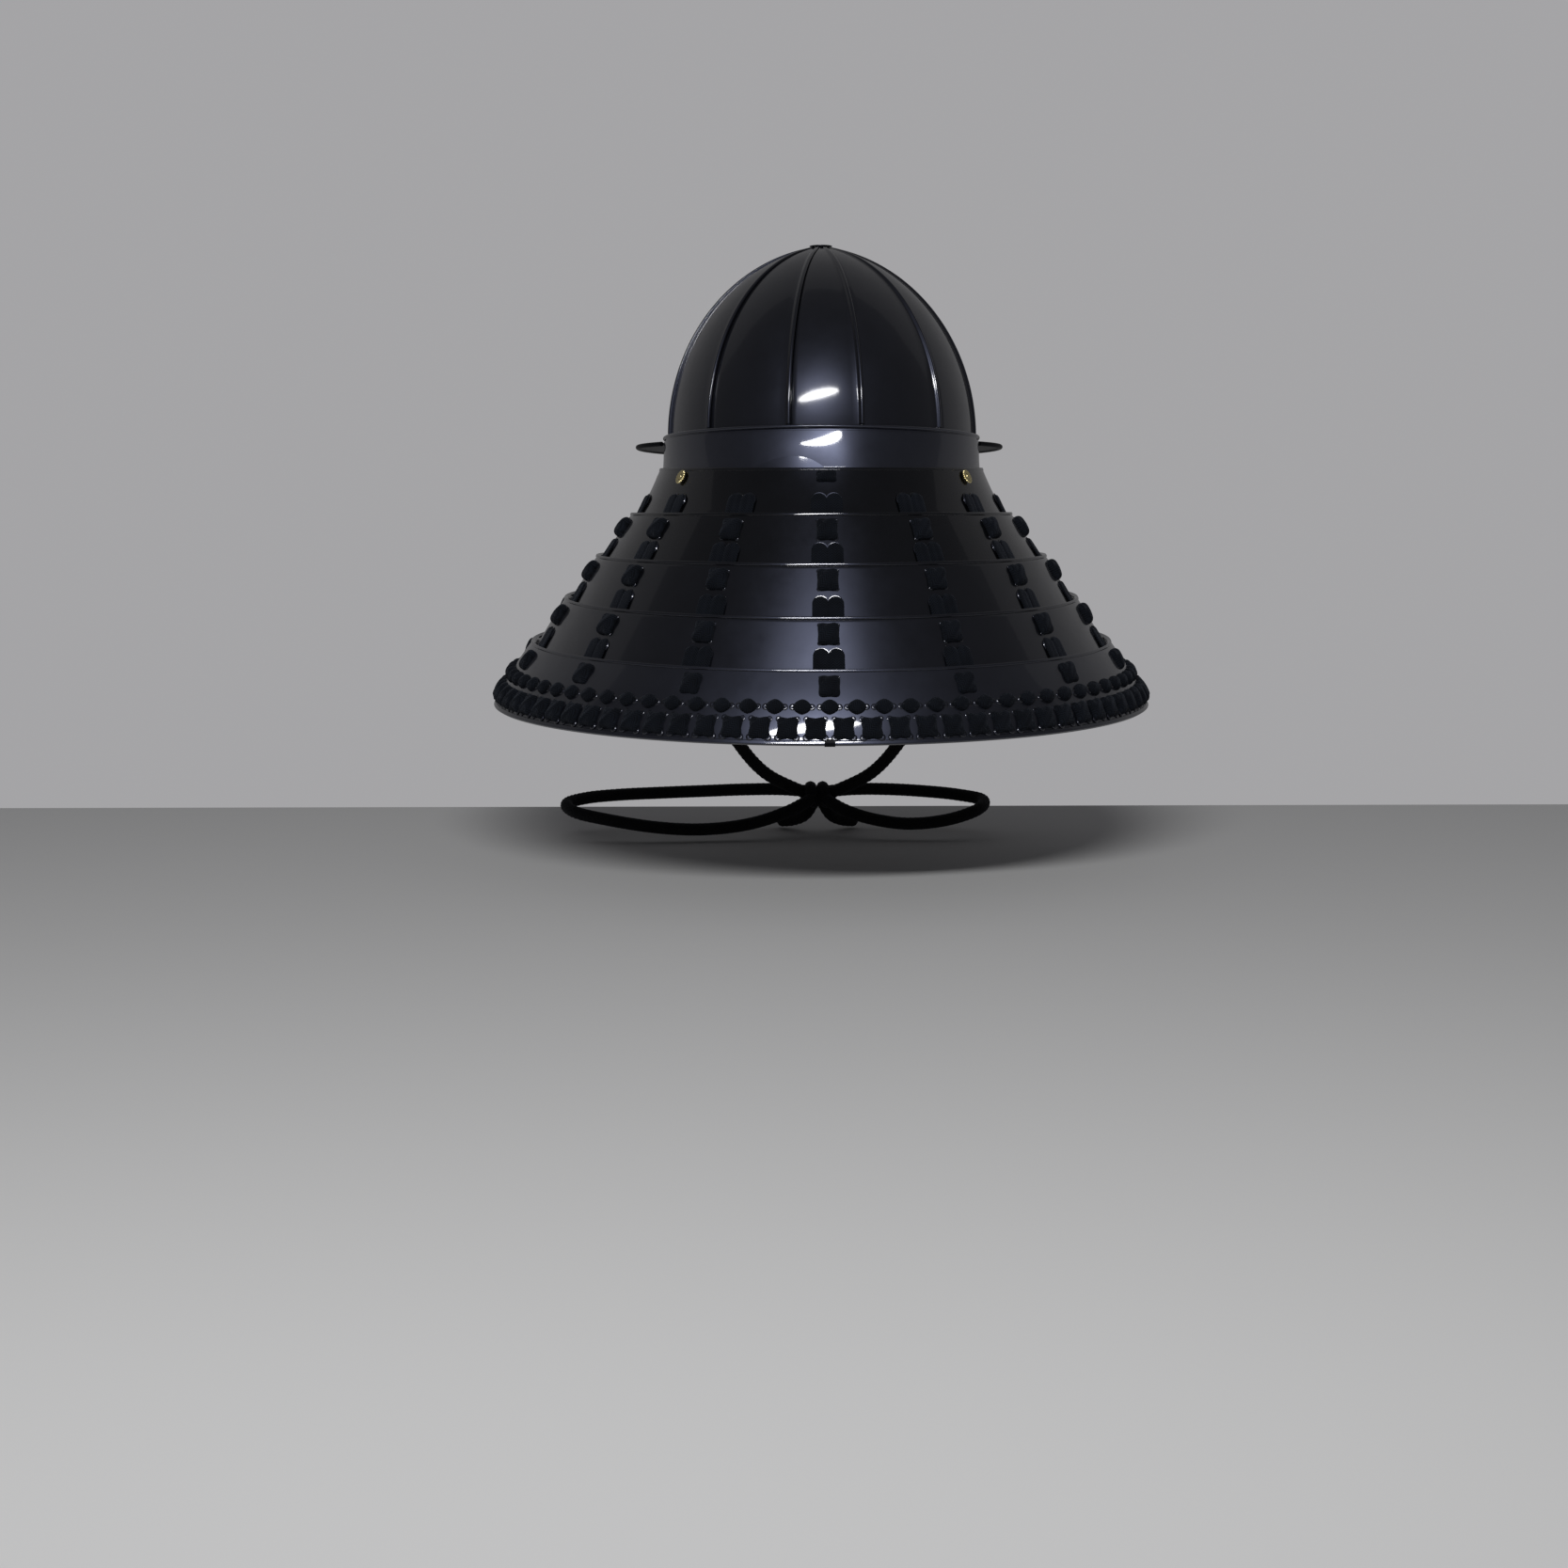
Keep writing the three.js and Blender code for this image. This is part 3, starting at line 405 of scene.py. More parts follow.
def plate_skin(start, end):
    """A plate: its outline carried up the foot, which stands in the hip band, and the arch.

    A rib grows out of the foot as a sine, and loses height as the cube of the way to the crown.
    """
    last_arch = math.acos((arch_offset + crown_hole) / bowl_arc_radius)
    foot_heights = np.array([-plate_foot, -0.004, 0, 0.0006])
    first_arch = math.asin(first_row_height / (bowl_arc_radius * arch_scale))
    archs = np.r_[np.linspace(first_arch, 0.024, 6)[:-1], np.linspace(0.024, last_arch, arch_rows)]
    radius, height, normal = bowl_profile(np.concatenate([0 * foot_heights, archs]))
    height[:len(foot_heights)] = foot_heights
    rise = np.clip((archs - first_arch) / (last_arch - first_arch), 0, 1)
    grown = np.clip((height[len(foot_heights):] - rib_foot) / rib_rise, 0, 1)
    ribs = rib_height * (1 - rib_fade * rise**3) * np.sin(grown * np.pi / 2)
    ribs = np.concatenate([0 * foot_heights, ribs])
    half_ribs = np.minimum(rib_width / radius, (end - start) * rib_largest_share) / 2
    half_gaps = plate_side_gap / radius / 2
    outlines = [plate_outline(start, end, *row) for row in zip(half_ribs, half_gaps, ribs)]
    angles, offsets = (np.stack(part) for part in zip(*outlines))
    reach = radius[:, None] + normal[:, :1] * offsets
    return skin(ring_point(angles, reach, height[:, None] + normal[:, 1:] * offsets))


def new_group(name, inputs, outputs):
    """An empty shader node group with its sockets, and its nodes, links, input and output."""
    group = bpy.data.node_groups.new(name, "ShaderNodeTree")
    for socket, kind, value in inputs:
        made = group.interface.new_socket(socket, in_out="INPUT", socket_type=kind)
        if value is not None:
            made.default_value = value
    for socket, kind in outputs:
        group.interface.new_socket(socket, in_out="OUTPUT", socket_type=kind)
    start = group.nodes.new("NodeGroupInput")
    end = group.nodes.new("NodeGroupOutput")
    return group, group.nodes, group.links, start.outputs, end.inputs


def math_node(nodes, links, operation, *values):
    """A Math node whose inputs are numbers or sockets."""
    made = nodes.new("ShaderNodeMath")
    made.operation = operation
    for socket, value in zip(made.inputs, values):
        feed(links, socket, value)
    return made.outputs[0]


# The lacquer's own surface: a slow unevenness from the layers brushed on by hand, a fine orange
# peel, patches that are a little duller, and sparse specks of dust.
lacquer_group, nodes, links, given, result = new_group(
    "lacquer_surface",
    [
        ("Black", "NodeSocketColor", lacquer_black), ("Bloom", "NodeSocketColor", lacquer_bloom),
        ("Roughness", "NodeSocketFloat", 0.3), ("Wave", "NodeSocketFloat", 0.3),
        ("Dust", "NodeSocketFloat", 0.2),
    ],
    [("Color", "NodeSocketColor"), ("Roughness", "NodeSocketFloat"), ("Normal", "NodeSocketVector")],
)
place = nodes.new("ShaderNodeTexCoord").outputs["Object"]
slow = noise_node(nodes, links, place, 22, 2)
patches = noise_node(nodes, links, place, 60, 4, 0.6)
peel = noise_node(nodes, links, place, 700, 2)
specks = share_node(nodes, links, noise_node(nodes, links, place, 1900, 1), 0.72, 0.8)
dust = math_node(nodes, links, "MULTIPLY", specks, given["Dust"])
haze = math_node(nodes, links, "MULTIPLY", patches, 0.35)
cloud = math_node(nodes, links, "ADD", haze, dust)
links.new(mixed_color(nodes, links, cloud, given["Black"], given["Bloom"]), result["Color"])
uneven = math_node(nodes, links, "MULTIPLY_ADD", patches, 0.16, -0.08)
rough = math_node(nodes, links, "ADD", uneven, given["Roughness"])
links.new(math_node(nodes, links, "MULTIPLY_ADD", dust, 0.4, rough), result["Roughness"])
peeled = bumped_normal(nodes, links, peel, 0.00003, 0.12)
waved = bumped_normal(nodes, links, slow, 0.0004, given["Wave"], peeled)
links.new(waved, result["Normal"])


def placed_group(material_nodes, material_links, group, shader, outputs, **values):
    """Places a group in a material, sets its values and feeds its outputs to the shader."""
    made = material_nodes.new("ShaderNodeGroup")
    made.node_tree = group
    for socket, value in values.items():
        made.inputs[socket].default_value = value
    for output, socket in outputs.items():
        material_links.new(made.outputs[output], shader.inputs[socket])
    return made


def lacquer_material(name, coat=1.0, coat_roughness=0.06, ground=0.5, **values):
    """Black lacquer: a dull ground under a clear hard coat, with the group's own values."""
    made, nodes, links, shader = new_material(
        name, Coat_Weight=coat, Coat_Roughness=coat_roughness, Coat_IOR=1.5,
        Specular_Tint=ground_tint, Specular_IOR_Level=ground,
    )
    outputs = {"Color": "Base Color", "Roughness": "Roughness", "Normal": "Normal"}
    placed_group(nodes, links, lacquer_group, shader, outputs, **values)
    return made


bowl_lacquer = lacquer_material("bowl_lacquer", coat_roughness=0.1, Roughness=0.38, Wave=0.25)
rib_angles = np.radians(rib_degrees + [360 - angle for angle in rib_degrees[::-1]])
plate_ends = np.append(rib_angles[1:], rib_angles[0] + 2 * np.pi)
for number, (start, end) in enumerate(zip(rib_angles, plate_ends), 1):
    plate = f"bowl_plate_{number:02d}"
    make_piece(f"{plate}_ribbed", [plate_skin(start, end)], bowl_lacquer, [plate])

# Crown eyelet. A turned ring of lacquered iron closes the hole where the plates meet, and its
# stem reaches down inside the bowl.
eyelet_radius = 0.0078
eyelet_flange = 0.0008
eyelet_bore = 0.0026
eyelet_stem_radius = 0.0038
eyelet_stem_depth = 0.007
eyelet_clearance = 0.0003  # above the ribs that it lies on


def turned_skin(radii, heights, sides, move):
    """A closed profile of radii and heights turned about an axis, and moved into its place."""
    turn = full_turn(sides)[:, None]
    points = np.stack([radii * np.cos(turn), radii * np.sin(turn), heights + 0 * turn], -1)
    return skin(move(points), loops=True)


crown_arch = math.acos((arch_offset + crown_hole) / bowl_arc_radius)
eyelet_foot = bowl_profile(crown_arch)[1] + rib_height * (1 - rib_fade) + eyelet_clearance
round_edge = np.linspace(-np.pi / 2, np.pi / 2, 9)
round_bore = np.linspace(np.pi / 2, np.pi, 5)
half_flange = eyelet_flange / 2
eyelet_radii = np.concatenate([
    [eyelet_bore, eyelet_stem_radius, eyelet_stem_radius],
    eyelet_radius - half_flange + half_flange * np.cos(round_edge),
    eyelet_bore + half_flange + half_flange * np.cos(round_bore),
])
eyelet_heights = np.concatenate([
    [-eyelet_stem_depth, -eyelet_stem_depth, 0],
    half_flange + half_flange * np.sin(round_edge),
    half_flange + half_flange * np.sin(round_bore),
])
eyelet = turned_skin(eyelet_radii, eyelet_foot + eyelet_heights, 64, lean)
make_piece("crown_eyelet_ring", [eyelet], bowl_lacquer, ["crown_eyelet"])

# Hip band. A lacquered iron band stands round the feet of the plates. A rounded lip runs along
# its top, and its skirt flares out behind the first lame, which is riveted to it.
guard_edges = np.array([
    # half width, reach behind, reach in front, height at the side, height at the back
    [110, 135, 125, -20, -9.1],
    [129.5, 155, 143, -50.6, -36.9],
    [153.2, 176, 163, -79, -67.6],
    [175.1, 197, 184, -107.6, -100.4],
    [197.9, 217, 205, -137.3, -132.1],
    [224.8, 240, 229, -181.5, -177.9],
]) / 1000
band_inside = bowl_half_width + 0.0008
band_top = 0.0005
band_thickness = 0.0015
band_outside = band_inside + band_thickness
band_lip_radius = 0.0011
band_lip_height = 0.00015
band_lip_reach = 0.0004  # of the lip's middle, past the band's face
band_lip_foot = -0.0009
band_groove = 0.0008  # depth of the groove under the lip
band_groove_share = 0.07
band_skirt = 0.014
band_joint_inset = 0.0023
band_hollow = 0.0007
band_side_fill = 0.003
band_side_fall = 0.8
band_twist = 0.0085  # of the foot at the back, for each radian, a slip of the hammer
band_twist_reach = 0.3
band_uneven_hollow = 4.0  # how the hollow deepens with the twist
band_draw_in = 0.0014  # of the band's joint, at the middle of the back


def edge_point(edge, angle, inset=0.0, lowered=0.0):
    """A point of a lame's edge: half an ellipse behind, another in front, on a bowed height."""
    half_width, reach, front, side, back = edge
    away = np.cos(angle)
    reaches = np.where(away > 0, reach - inset, front - inset)
    x, y = (half_width - inset) * np.sin(angle), reaches * away
    return np.stack([x, y, side - lowered + (back - side) * away], -1)


def band_point(angle, share, outwards):
    """A point off the band's face: share 0 under its lip, 1 at the joint, 2 at its foot.

    Outwards runs level, along the normal of the joint's ellipse. Between lip and joint the face
    is hollowed by a parabola, so it starts steep and flares. Its foot is drawn in at the back,
    as the square of the cosine, and the sides stand out, as the square of the sine times the
    root of the share and its fall to a fifth. Near the back's middle the foot is twisted, and
    the hollow deepened, by the sine times a bell curve.
    """
    angle, share, outwards = (np.asarray(part, float)[..., None] for part in (angle, share, outwards))
    top = ring_point(angle[..., 0], band_outside, band_lip_foot)
    joint = edge_point(guard_edges[0], angle[..., 0], band_joint_inset)
    foot = edge_point(guard_edges[0], angle[..., 0], band_joint_inset, band_skirt)
    upper, lower = np.clip(share, None, 1), np.clip(share - 1, 0, None)
    way, side, away = np.clip(share, 0, 1), np.sin(angle), np.cos(angle)
    half_width, reach = guard_edges[0][:2] - band_joint_inset
    level = unit(np.concatenate([side / half_width, away / reach, 0 * angle], -1))
    uneven = side * np.exp(-(side / band_twist_reach) ** 2) * (away > 0)
    hollow = 4 * band_hollow * (1 + band_uneven_hollow * uneven) * upper * (1 - upper)
    drawn = (band_draw_in * np.clip(away, 0, 1) ** 2 + band_twist * uneven) * way
    filled = band_side_fill * side**2 * np.sqrt(way) * (1 - band_side_fall * way)
    face = top + (joint - top) * upper + (foot - joint) * lower
    return face + level * (outwards - hollow - drawn + filled)


def band_skin():
    """The band: its section, outside up and inside down, carried once round the helmet."""
    turn = full_turn(300)[:, None]
    shares = np.r_[2, 1.97, 1.5, 1.02, 1, 0.98, 0.9:0.09:-0.1, 0.072, 0.066, 0.045, 0.03][None]
    outer = band_point(turn, shares, -band_groove * (shares < band_groove_share))
    bulge = np.linspace(-1.9, np.pi / 2, 10)[None]
    lip = ring_point(
        turn, band_outside + band_lip_reach + band_lip_radius * np.cos(bulge),
        band_lip_height + band_lip_radius * np.sin(bulge),
    )
    rounding = 0.0003
    inner_ring = ring_point(
        turn, np.array([[band_inside + rounding, band_inside, band_inside]]),
        np.array([[band_top, band_top - rounding, -plate_foot - 0.001]]),
    )
    inner_inset = band_joint_inset + band_thickness
    skirt = [edge_point(guard_edges[0], turn, inner_inset, drop) for drop in (0, band_skirt)]
    return skin(np.concatenate([outer, lip, inner_ring, *skirt], 1), loops=True)


band_lacquer = lacquer_material("band_lacquer", ground=1.0, Roughness=0.37, Wave=0.2, Dust=0.3)
make_piece("hip_band_lipped", [band_skin()], band_lacquer, ["hip_band"])

# Visor. A flat iron crescent in the plane of the bowl's ring, with a round beaded edge. A flange
# along its root lies on the hip band and takes three iron rivets.
visor_half_width = 0.128
visor_centre = -0.060
visor_back_radius = 0.076
visor_front_radius = 0.098
visor_thickness = 0.0016
visor_bead = 0.0016
visor_gap = 0.00075
visor_top = band_lip_foot - 0.0001
visor_columns = 161
visor_root_degrees = (101, 259)
visor_edge_degrees = (60, 300)
visor_neck = 1.9  # where the bead starts, in bead radii
flange_thickness = 0.0015
flange_end_degrees = (121, 132)  # between which the flange runs out, from the back
flange_bend = (0.22, 1.0)  # where it bends down the band, at its ends and in front
flange_foot = (0.3, 1.4)


def visor_edge_point(angle, inset, height):
    """A point of the crescent's outer edge, an ellipse longer in front, drawn in by an inset."""
    angle, inset, height = np.broadcast_arrays(angle, inset, height)
    reach = np.where(np.cos(angle) > 0, visor_back_radius, visor_front_radius) - inset
    x, y = (visor_half_width - inset) * np.sin(angle), visor_centre + reach * np.cos(angle)
    return lean(np.stack([x, y, height], -1))


def visor_skin():
    """The visor: one section from its flange's foot out to its bead, carried round the front.

    The upper way runs up the flange's inner face and out along the top, the lower way up the
    flange's outer face and out along the underside, and both meet at the bead's middle.
    """
    band = np.radians(np.linspace(*visor_root_degrees, visor_columns))[:, None]
    edge = np.radians(np.linspace(*visor_edge_degrees, visor_columns))[:, None]
    from_back = np.degrees(np.minimum(band, 2 * np.pi - band))
    kept = np.interp(from_back, flange_end_degrees, (0, 1))
    kept = kept * kept * (3 - 2 * kept)
    bend, foot = (low + (high - low) * kept for low, high in (flange_bend, flange_foot))
    bead_turn = np.linspace(math.radians(150), 0, 9)[None]
    across = np.linspace(0.06, 1, 8)[None, :, None]
    under, outside = visor_top - visor_thickness, visor_gap + flange_thickness
    roots = band_point(band, 0.02, visor_gap), ring_point(band, band_outside + outside, under)
    ways = []
    for root, out, height, up in zip(roots, (visor_gap, outside), (visor_top, under), (1, -1)):
        neck = visor_edge_point(edge, visor_bead * visor_neck, height)
        bead = visor_edge_point(
            edge, visor_bead * (1 - np.cos(bead_turn)),
            visor_top - visor_thickness / 2 + up * visor_bead * np.sin(bead_turn),
        )
        flange = [band_point(band, share, out) for share in (foot, bend, 0.6 * bend)]
        ways.append(np.concatenate([*flange, root, root + (neck - root) * across, bead], 1))
    return skin(np.concatenate([ways[0], ways[1][:, ::-1]], 1))


visor_lacquer = lacquer_material("visor_lacquer", coat=0.15, ground=0.12, Roughness=0.5, Wave=0.3)
make_piece("visor_crescent", [visor_skin()], visor_lacquer, ["visor"])

# Neck guard. Five lacquered iron lames, each flared and laced a little outside the one above.
# A thin lip is turned out along each top edge, and the last lame ends in a rolled rim.
lame_thickness = 0.0015
lame_step = 0.0048
lame_lap = 0.008
lame_end_margin = 0.019
lame_end_rounding = math.radians(3)
lame_end_square = 0.4
lame_hollows = (0.0006, 0, -0.0001, -0.0001, 0)
lame_roughness = (0.26, 0.28, 0.31, 0.33, 0.38)
lame_ground = (0.15, 0.2, 0.38, 0.5, 0.8)
last_lame_turn = 0.0042  # how far the last lame would turn down, were its lower half this long
lip_height = 0.0009
first_lip_height = 0.0004
lip_depth = 0.0021
lip_below = np.array([0, 0.05, 0.2, 0.4, 0.5, 1.0, 1.5, 1.6, 1.85, 2.0, 2.1]) / 1000
lip_shares = np.array([0, 0.55, 0.85, 0.97, 1, 1, 1, 0.97, 0.75, 0.4, 0])  # of the lip's height
lip_slopes = (0.1, 0.142, 0.1, 0.074, 0.079)  # of the crest, which leans down
lip_crest = (0.0005, 0.0015)  # where it starts and ends
rim_radius = 0.0015
rim_slope = 0.06
rim_squareness = 0.35
face_rows = 23
lace_spacing = np.radians([27.2, 27.2, 26.6, 26.2, 25.6])
chord_half_angle = math.radians(0.5)
last_lame = 4


def lame_place(lame, angle):
    """Where a lame is at an angle: its top edge, ways down, out and across, slant and speed.

    Down runs to the next edge, drawn in by the step between two lames. Across is the chord of
    both edges, out stands square to both, and speed is the top edge's length for each radian.
    """
    edge, below = guard_edges[lame], guard_edges[lame + 1]
    inset = 0 if lame == last_lame else lame_step
    top = edge_point(edge, angle)
    down = edge_point(below, angle, inset) - top
    slant = np.linalg.norm(down, axis=-1)
    down = unit(down)
    before, after = angle - chord_half_angle, angle + chord_half_angle
    own_chord = edge_point(edge, after) - edge_point(edge, before)
    chord = own_chord + edge_point(below, after, inset) - edge_point(below, before, inset)
    out = unit(np.cross(chord, down))
    speed = np.linalg.norm(own_chord, axis=-1) / (2 * chord_half_angle)
    return top, down, out, np.cross(down, out), slant, speed


def on_lame(place, sideways, below, outwards):
    """A point by its distances across, down the slant and out from the lame's face."""
    top, down, out, across = (np.asarray(part)[..., :] for part in place[:4])
    distances = (sideways, below, outwards)
    sideways, below, outwards = (np.asarray(part, float)[..., None] for part in distances)
    return top + across * sideways + down * below + out * outwards


def rounded(value, power):
    """A value's size raised to a power under its own sign, which squares up a circle."""
    return np.sign(value) * np.abs(value) ** power


def lame_bow(lame, share):
    """How far a lame's face stands out at a share of its height.

    It is hollowed by a parabola, and the last one bows out as the share less its cube, so its
    lower half turns down to the rim.
    """
    if lame == last_lame:
        return last_lame_turn * (share - share**3)
    return -4 * lame_hollows[lame] * share * np.clip(1 - share, 0, 1)


def lame_skin(lame):
    """A lame: its section from lip to foot, carried from one front end to the other.

    The lip's crest falls evenly down its width and ends in a crease. The last lame's foot is a
    rolled rim, a squared circle on a slope. The lower corners are drawn in evenly.
    """
    reference = float(lame_place(lame, np.pi / 2)[4])
    end = 4 * lace_spacing[lame] + lame_end_margin / guard_edges[lame][0]
    half = lame_thickness / 2
    crest_fall = lip_slopes[lame] * (np.clip(lip_below, *lip_crest) - lip_crest[0])
    lip_out = lip_shares * ((lip_height if lame else first_lip_height) - crest_fall)
    if lame == last_lame:
        roll = np.radians([150, 130, 115, 105, 95, 85, 75, 60, 45, 30, 15, 0])
        roll_below = rim_radius * rounded(np.cos(roll), rim_squareness)
        roll_out = rim_radius * rounded(np.sin(roll), rim_squareness)
        face_end = reference - 2 * rim_radius - 0.0004
        foot_below = reference - rim_radius + roll_below
        foot_out = -half + roll_out - rim_slope * roll_below
        inner_foot_out = -half - roll_out - rim_slope * roll_below
    else:
        foot = reference + lame_lap
        face_end = foot - 0.0006
        foot_below = foot + np.array([-0.0003, -0.0001, 0])
        foot_out = np.array([-0.0001, -0.0003, -half])
        inner_foot_out = -lame_thickness - foot_out
    face = np.linspace(lip_depth + 0.00005, face_end, face_rows)
    bow = lame_bow(lame, face / reference)
    inner_lip = np.r_[lip_out[0] - half, np.full(len(lip_out) - 1, -lame_thickness)]
    below = np.r_[lip_below, face, foot_below]
    outer = np.r_[lip_out, bow, foot_out]
    inner = np.r_[inner_lip, bow - lame_thickness, inner_foot_out]
    below = np.r_[below, below[::-1]][None]
    drawn = lame_end_rounding * np.clip(below / reference - lame_end_square, 0, None)
    place = lame_place(lame, np.linspace(-1, 1, 261)[:, None] * (end - drawn))
    return skin(on_lame(place, 0, below * place[4] / reference, np.r_[outer, inner[::-1]][None]))


for lame in range(5):
    lame_lacquer = lacquer_material(
        f"lame_{lame + 1}_lacquer", ground=lame_ground[lame], Roughness=lame_roughness[lame],
        Wave=0.35, Dust=0.3,
    )
    lame_name = f"neck_lame_{lame + 1}"
    make_piece(f"{lame_name}_curved", [lame_skin(lame)], lame_lacquer, [lame_name])

# Lacing. Flat braids of dark blue silk hang the lames from each other in nine columns. Each pair
# comes out through a slot above the next lame, and a crossed knot ties it to that lame.
lace_thickness = 0.0017
lace_half_width = 0.0053
lace_shift = 0.0046
lace_gap = 0.00045
lace_inside = -lame_thickness - lace_gap - 0.0008
first_lace_run = 0.007  # behind the first lame
last_lace_run = 0.009  # behind the last lame, past its knot
pair_slot_above_lap = 0.0122
tongue_start = 0.0008  # above the slot that a pair comes out of
tongue_lift = 0.0014
tongue_sink = 0.0004
tongue_rows = 16
knot_below_edge = 0.012
knot_size = (0.0073, 0.0078)
knot_rise = 0.0055
knot_under_share = 0.78  # height of the strap that passes beneath
knot_reach = 0.95  # of the straps, in half knots
lace_navy = (0.0015, 0.002, 0.0034, 1)
lace_light = (0.009, 0.012, 0.019, 1)


def lace_strip(place, below, outwards, half_widths):
    """A flat braid along a path down a lame, with a rounded section and its own width.

    The section is a flattened superellipse, set square to the path.
    """
    path = np.stack([below, outwards], -1)
    ahead = unit(np.gradient(path, axis=0))
    face = np.stack([-ahead[:, 1], ahead[:, 0]], -1)
    turn = full_turn(20)[None]
    wide = rounded(np.cos(turn), 0.6) * half_widths[:, None]
    thick = rounded(np.sin(turn), 0.8) * lace_thickness / 2
    travelled = np.r_[0, np.cumsum(np.linalg.norm(np.diff(path, axis=0), axis=1))]
    uv = np.stack([wide, travelled[:, None] + 0 * wide], -1).reshape(-1, 2)
    below, outwards = (path[:, i, None] + face[:, i, None] * thick for i in (0, 1))
    return skin(on_lame(place, wide, below, outwards), uv=uv)


def crossed_knot(place, middle, size, foot, rise, rings=10, sides=44, square=4.6, pinch=0.07):
    """A knot of one braid crossed over another, seen from outside as a square with four lobes.

    The outline is a superellipse drawn in at the middle of its sides. The height is a dome
    times the higher of two rounded straps that lie along the diagonals.
    """
    half_width, half_height = size
    turn = full_turn(sides)[None]
    cosine, sine = np.cos(turn), np.sin(turn)
    outline = (np.abs(cosine) ** square + np.abs(sine) ** square) ** (-1 / square)
    outline = outline * (1 - pinch * np.cos(2 * turn) ** 2)
    share = np.sin(np.linspace(1, 0.04, rings) * np.pi / 2)[:, None]
    x, y = share * outline * cosine, share * outline * sine
    along, aside = (x + y) / math.sqrt(2), (x - y) / math.sqrt(2)
    over, beneath = (np.sqrt(np.clip(1 - (way / knot_reach) ** 2, 0.06, 1)) for way in (aside, along))
    beneath = knot_under_share * beneath
    dome = np.clip(1 - share**5, 0, 1) ** 0.45 * (1 - 0.1 * share)
    height = foot + (rise - foot) * dome * np.maximum(over, beneath)
    x, y = np.vstack([0.97 * x[:1], x]), np.vstack([0.97 * y[:1], y])
    height = np.vstack([0 * height[:1] + foot - 0.0012, height])
    is_over = over >= beneath
    uv = np.stack([np.where(is_over, aside, along), np.where(is_over, along, aside)], -1) * half_width
    points = on_lame(place, half_width * x, middle + half_height * y, height)
    return skin(points, uv=np.concatenate([uv[:1], uv]).reshape(-1, 2))


# The braid's weave, which the laces, knots and tabs share: rows of slanting stitches that meet
# in vees, read from the piece's own map in metres, with a fine fuzz of loose fibres.
weave_group, nodes, links, given, result = new_group(
    "braid_weave",
    [
        ("Dark", "NodeSocketColor", lace_navy), ("Light", "NodeSocketColor", lace_light),
        ("Pitch", "NodeSocketFloat", 0.0017), ("Ply", "NodeSocketFloat", 0.0024),
    ],
    [("Color", "NodeSocketColor"), ("Normal", "NodeSocketVector")],
)
weave_map = nodes.new("ShaderNodeUVMap")
weave_map.uv_map = "weave"
across_along = nodes.new("ShaderNodeSeparateXYZ")
links.new(weave_map.outputs["UV"], across_along.inputs[0])
slope = math_node(nodes, links, "PINGPONG", across_along.outputs["X"], given["Ply"])
step = math_node(nodes, links, "ADD", across_along.outputs["Y"], slope)
phase = math_node(nodes, links, "DIVIDE", step, given["Pitch"])
wave = math_node(nodes, links, "SINE", math_node(nodes, links, "MULTIPLY", phase, math.pi))
stitch = math_node(nodes, links, "ABSOLUTE", wave)
place = nodes.new("ShaderNodeTexCoord").outputs["Object"]
fuzz = noise_node(nodes, links, place, 1600, 3)
worn = noise_node(nodes, links, place, 90, 3)
stitch_height = math_node(nodes, links, "MULTIPLY_ADD", fuzz, 0.5, stitch)
# Painted shade: the colour is darker in the grooves between stitches and lighter on their crowns,
# scaled by slow random patches of wear.
groove_shade_and_wear = math_node(nodes, links, "MULTIPLY", math_node(nodes, links, "MULTIPLY", stitch, worn), 1.1)
links.new(mixed_color(nodes, links, groove_shade_and_wear, given["Dark"], given["Light"]), result["Color"])
links.new(bumped_normal(nodes, links, stitch_height, 0.00035, 0.8), result["Normal"])

lace_silk, nodes, links, shader = new_material(
    "navy_lace", Roughness=0.85, Specular_IOR_Level=0.12, Sheen_Weight=0.08,
    Sheen_Roughness=0.45, Sheen_Tint=(0.5, 0.56, 0.7, 1),
)
placed_group(nodes, links, weave_group, shader, {"Color": "Base Color", "Normal": "Normal"})

rim_turn = full_turn(16)[None]
rim_radii = np.array([2.5, 2.1, 1.5, 0.8])[:, None] / 1000
rim_heights = np.array([-0.3, 0.22, 0.42, 0.3])[:, None] / 1000
slot_radii = np.array([5.75, 5.3, 4.4, 2.8])[:, None] / 1000  # these rims fall towards the slot
slot_heights = np.array([-0.3, 0.3, 0.23, -0.1])[:, None] / 1000
slot_rim_drop = 0.0036  # of the rims' middles, below the slot


def hole_rims(place, middle, size, lift, corners, radii=rim_radii, heights=rim_heights):
    """The lacquer's thick rims round a knot's holes: low rounds under the knot's corners."""
    x, y = radii * np.cos(rim_turn), radii * np.sin(rim_turn)
    return [
        skin(on_lame(place, a * size[0] + x, middle + b * size[1] + y, lift + heights + 0 * x))
        for a, b in corners
    ]


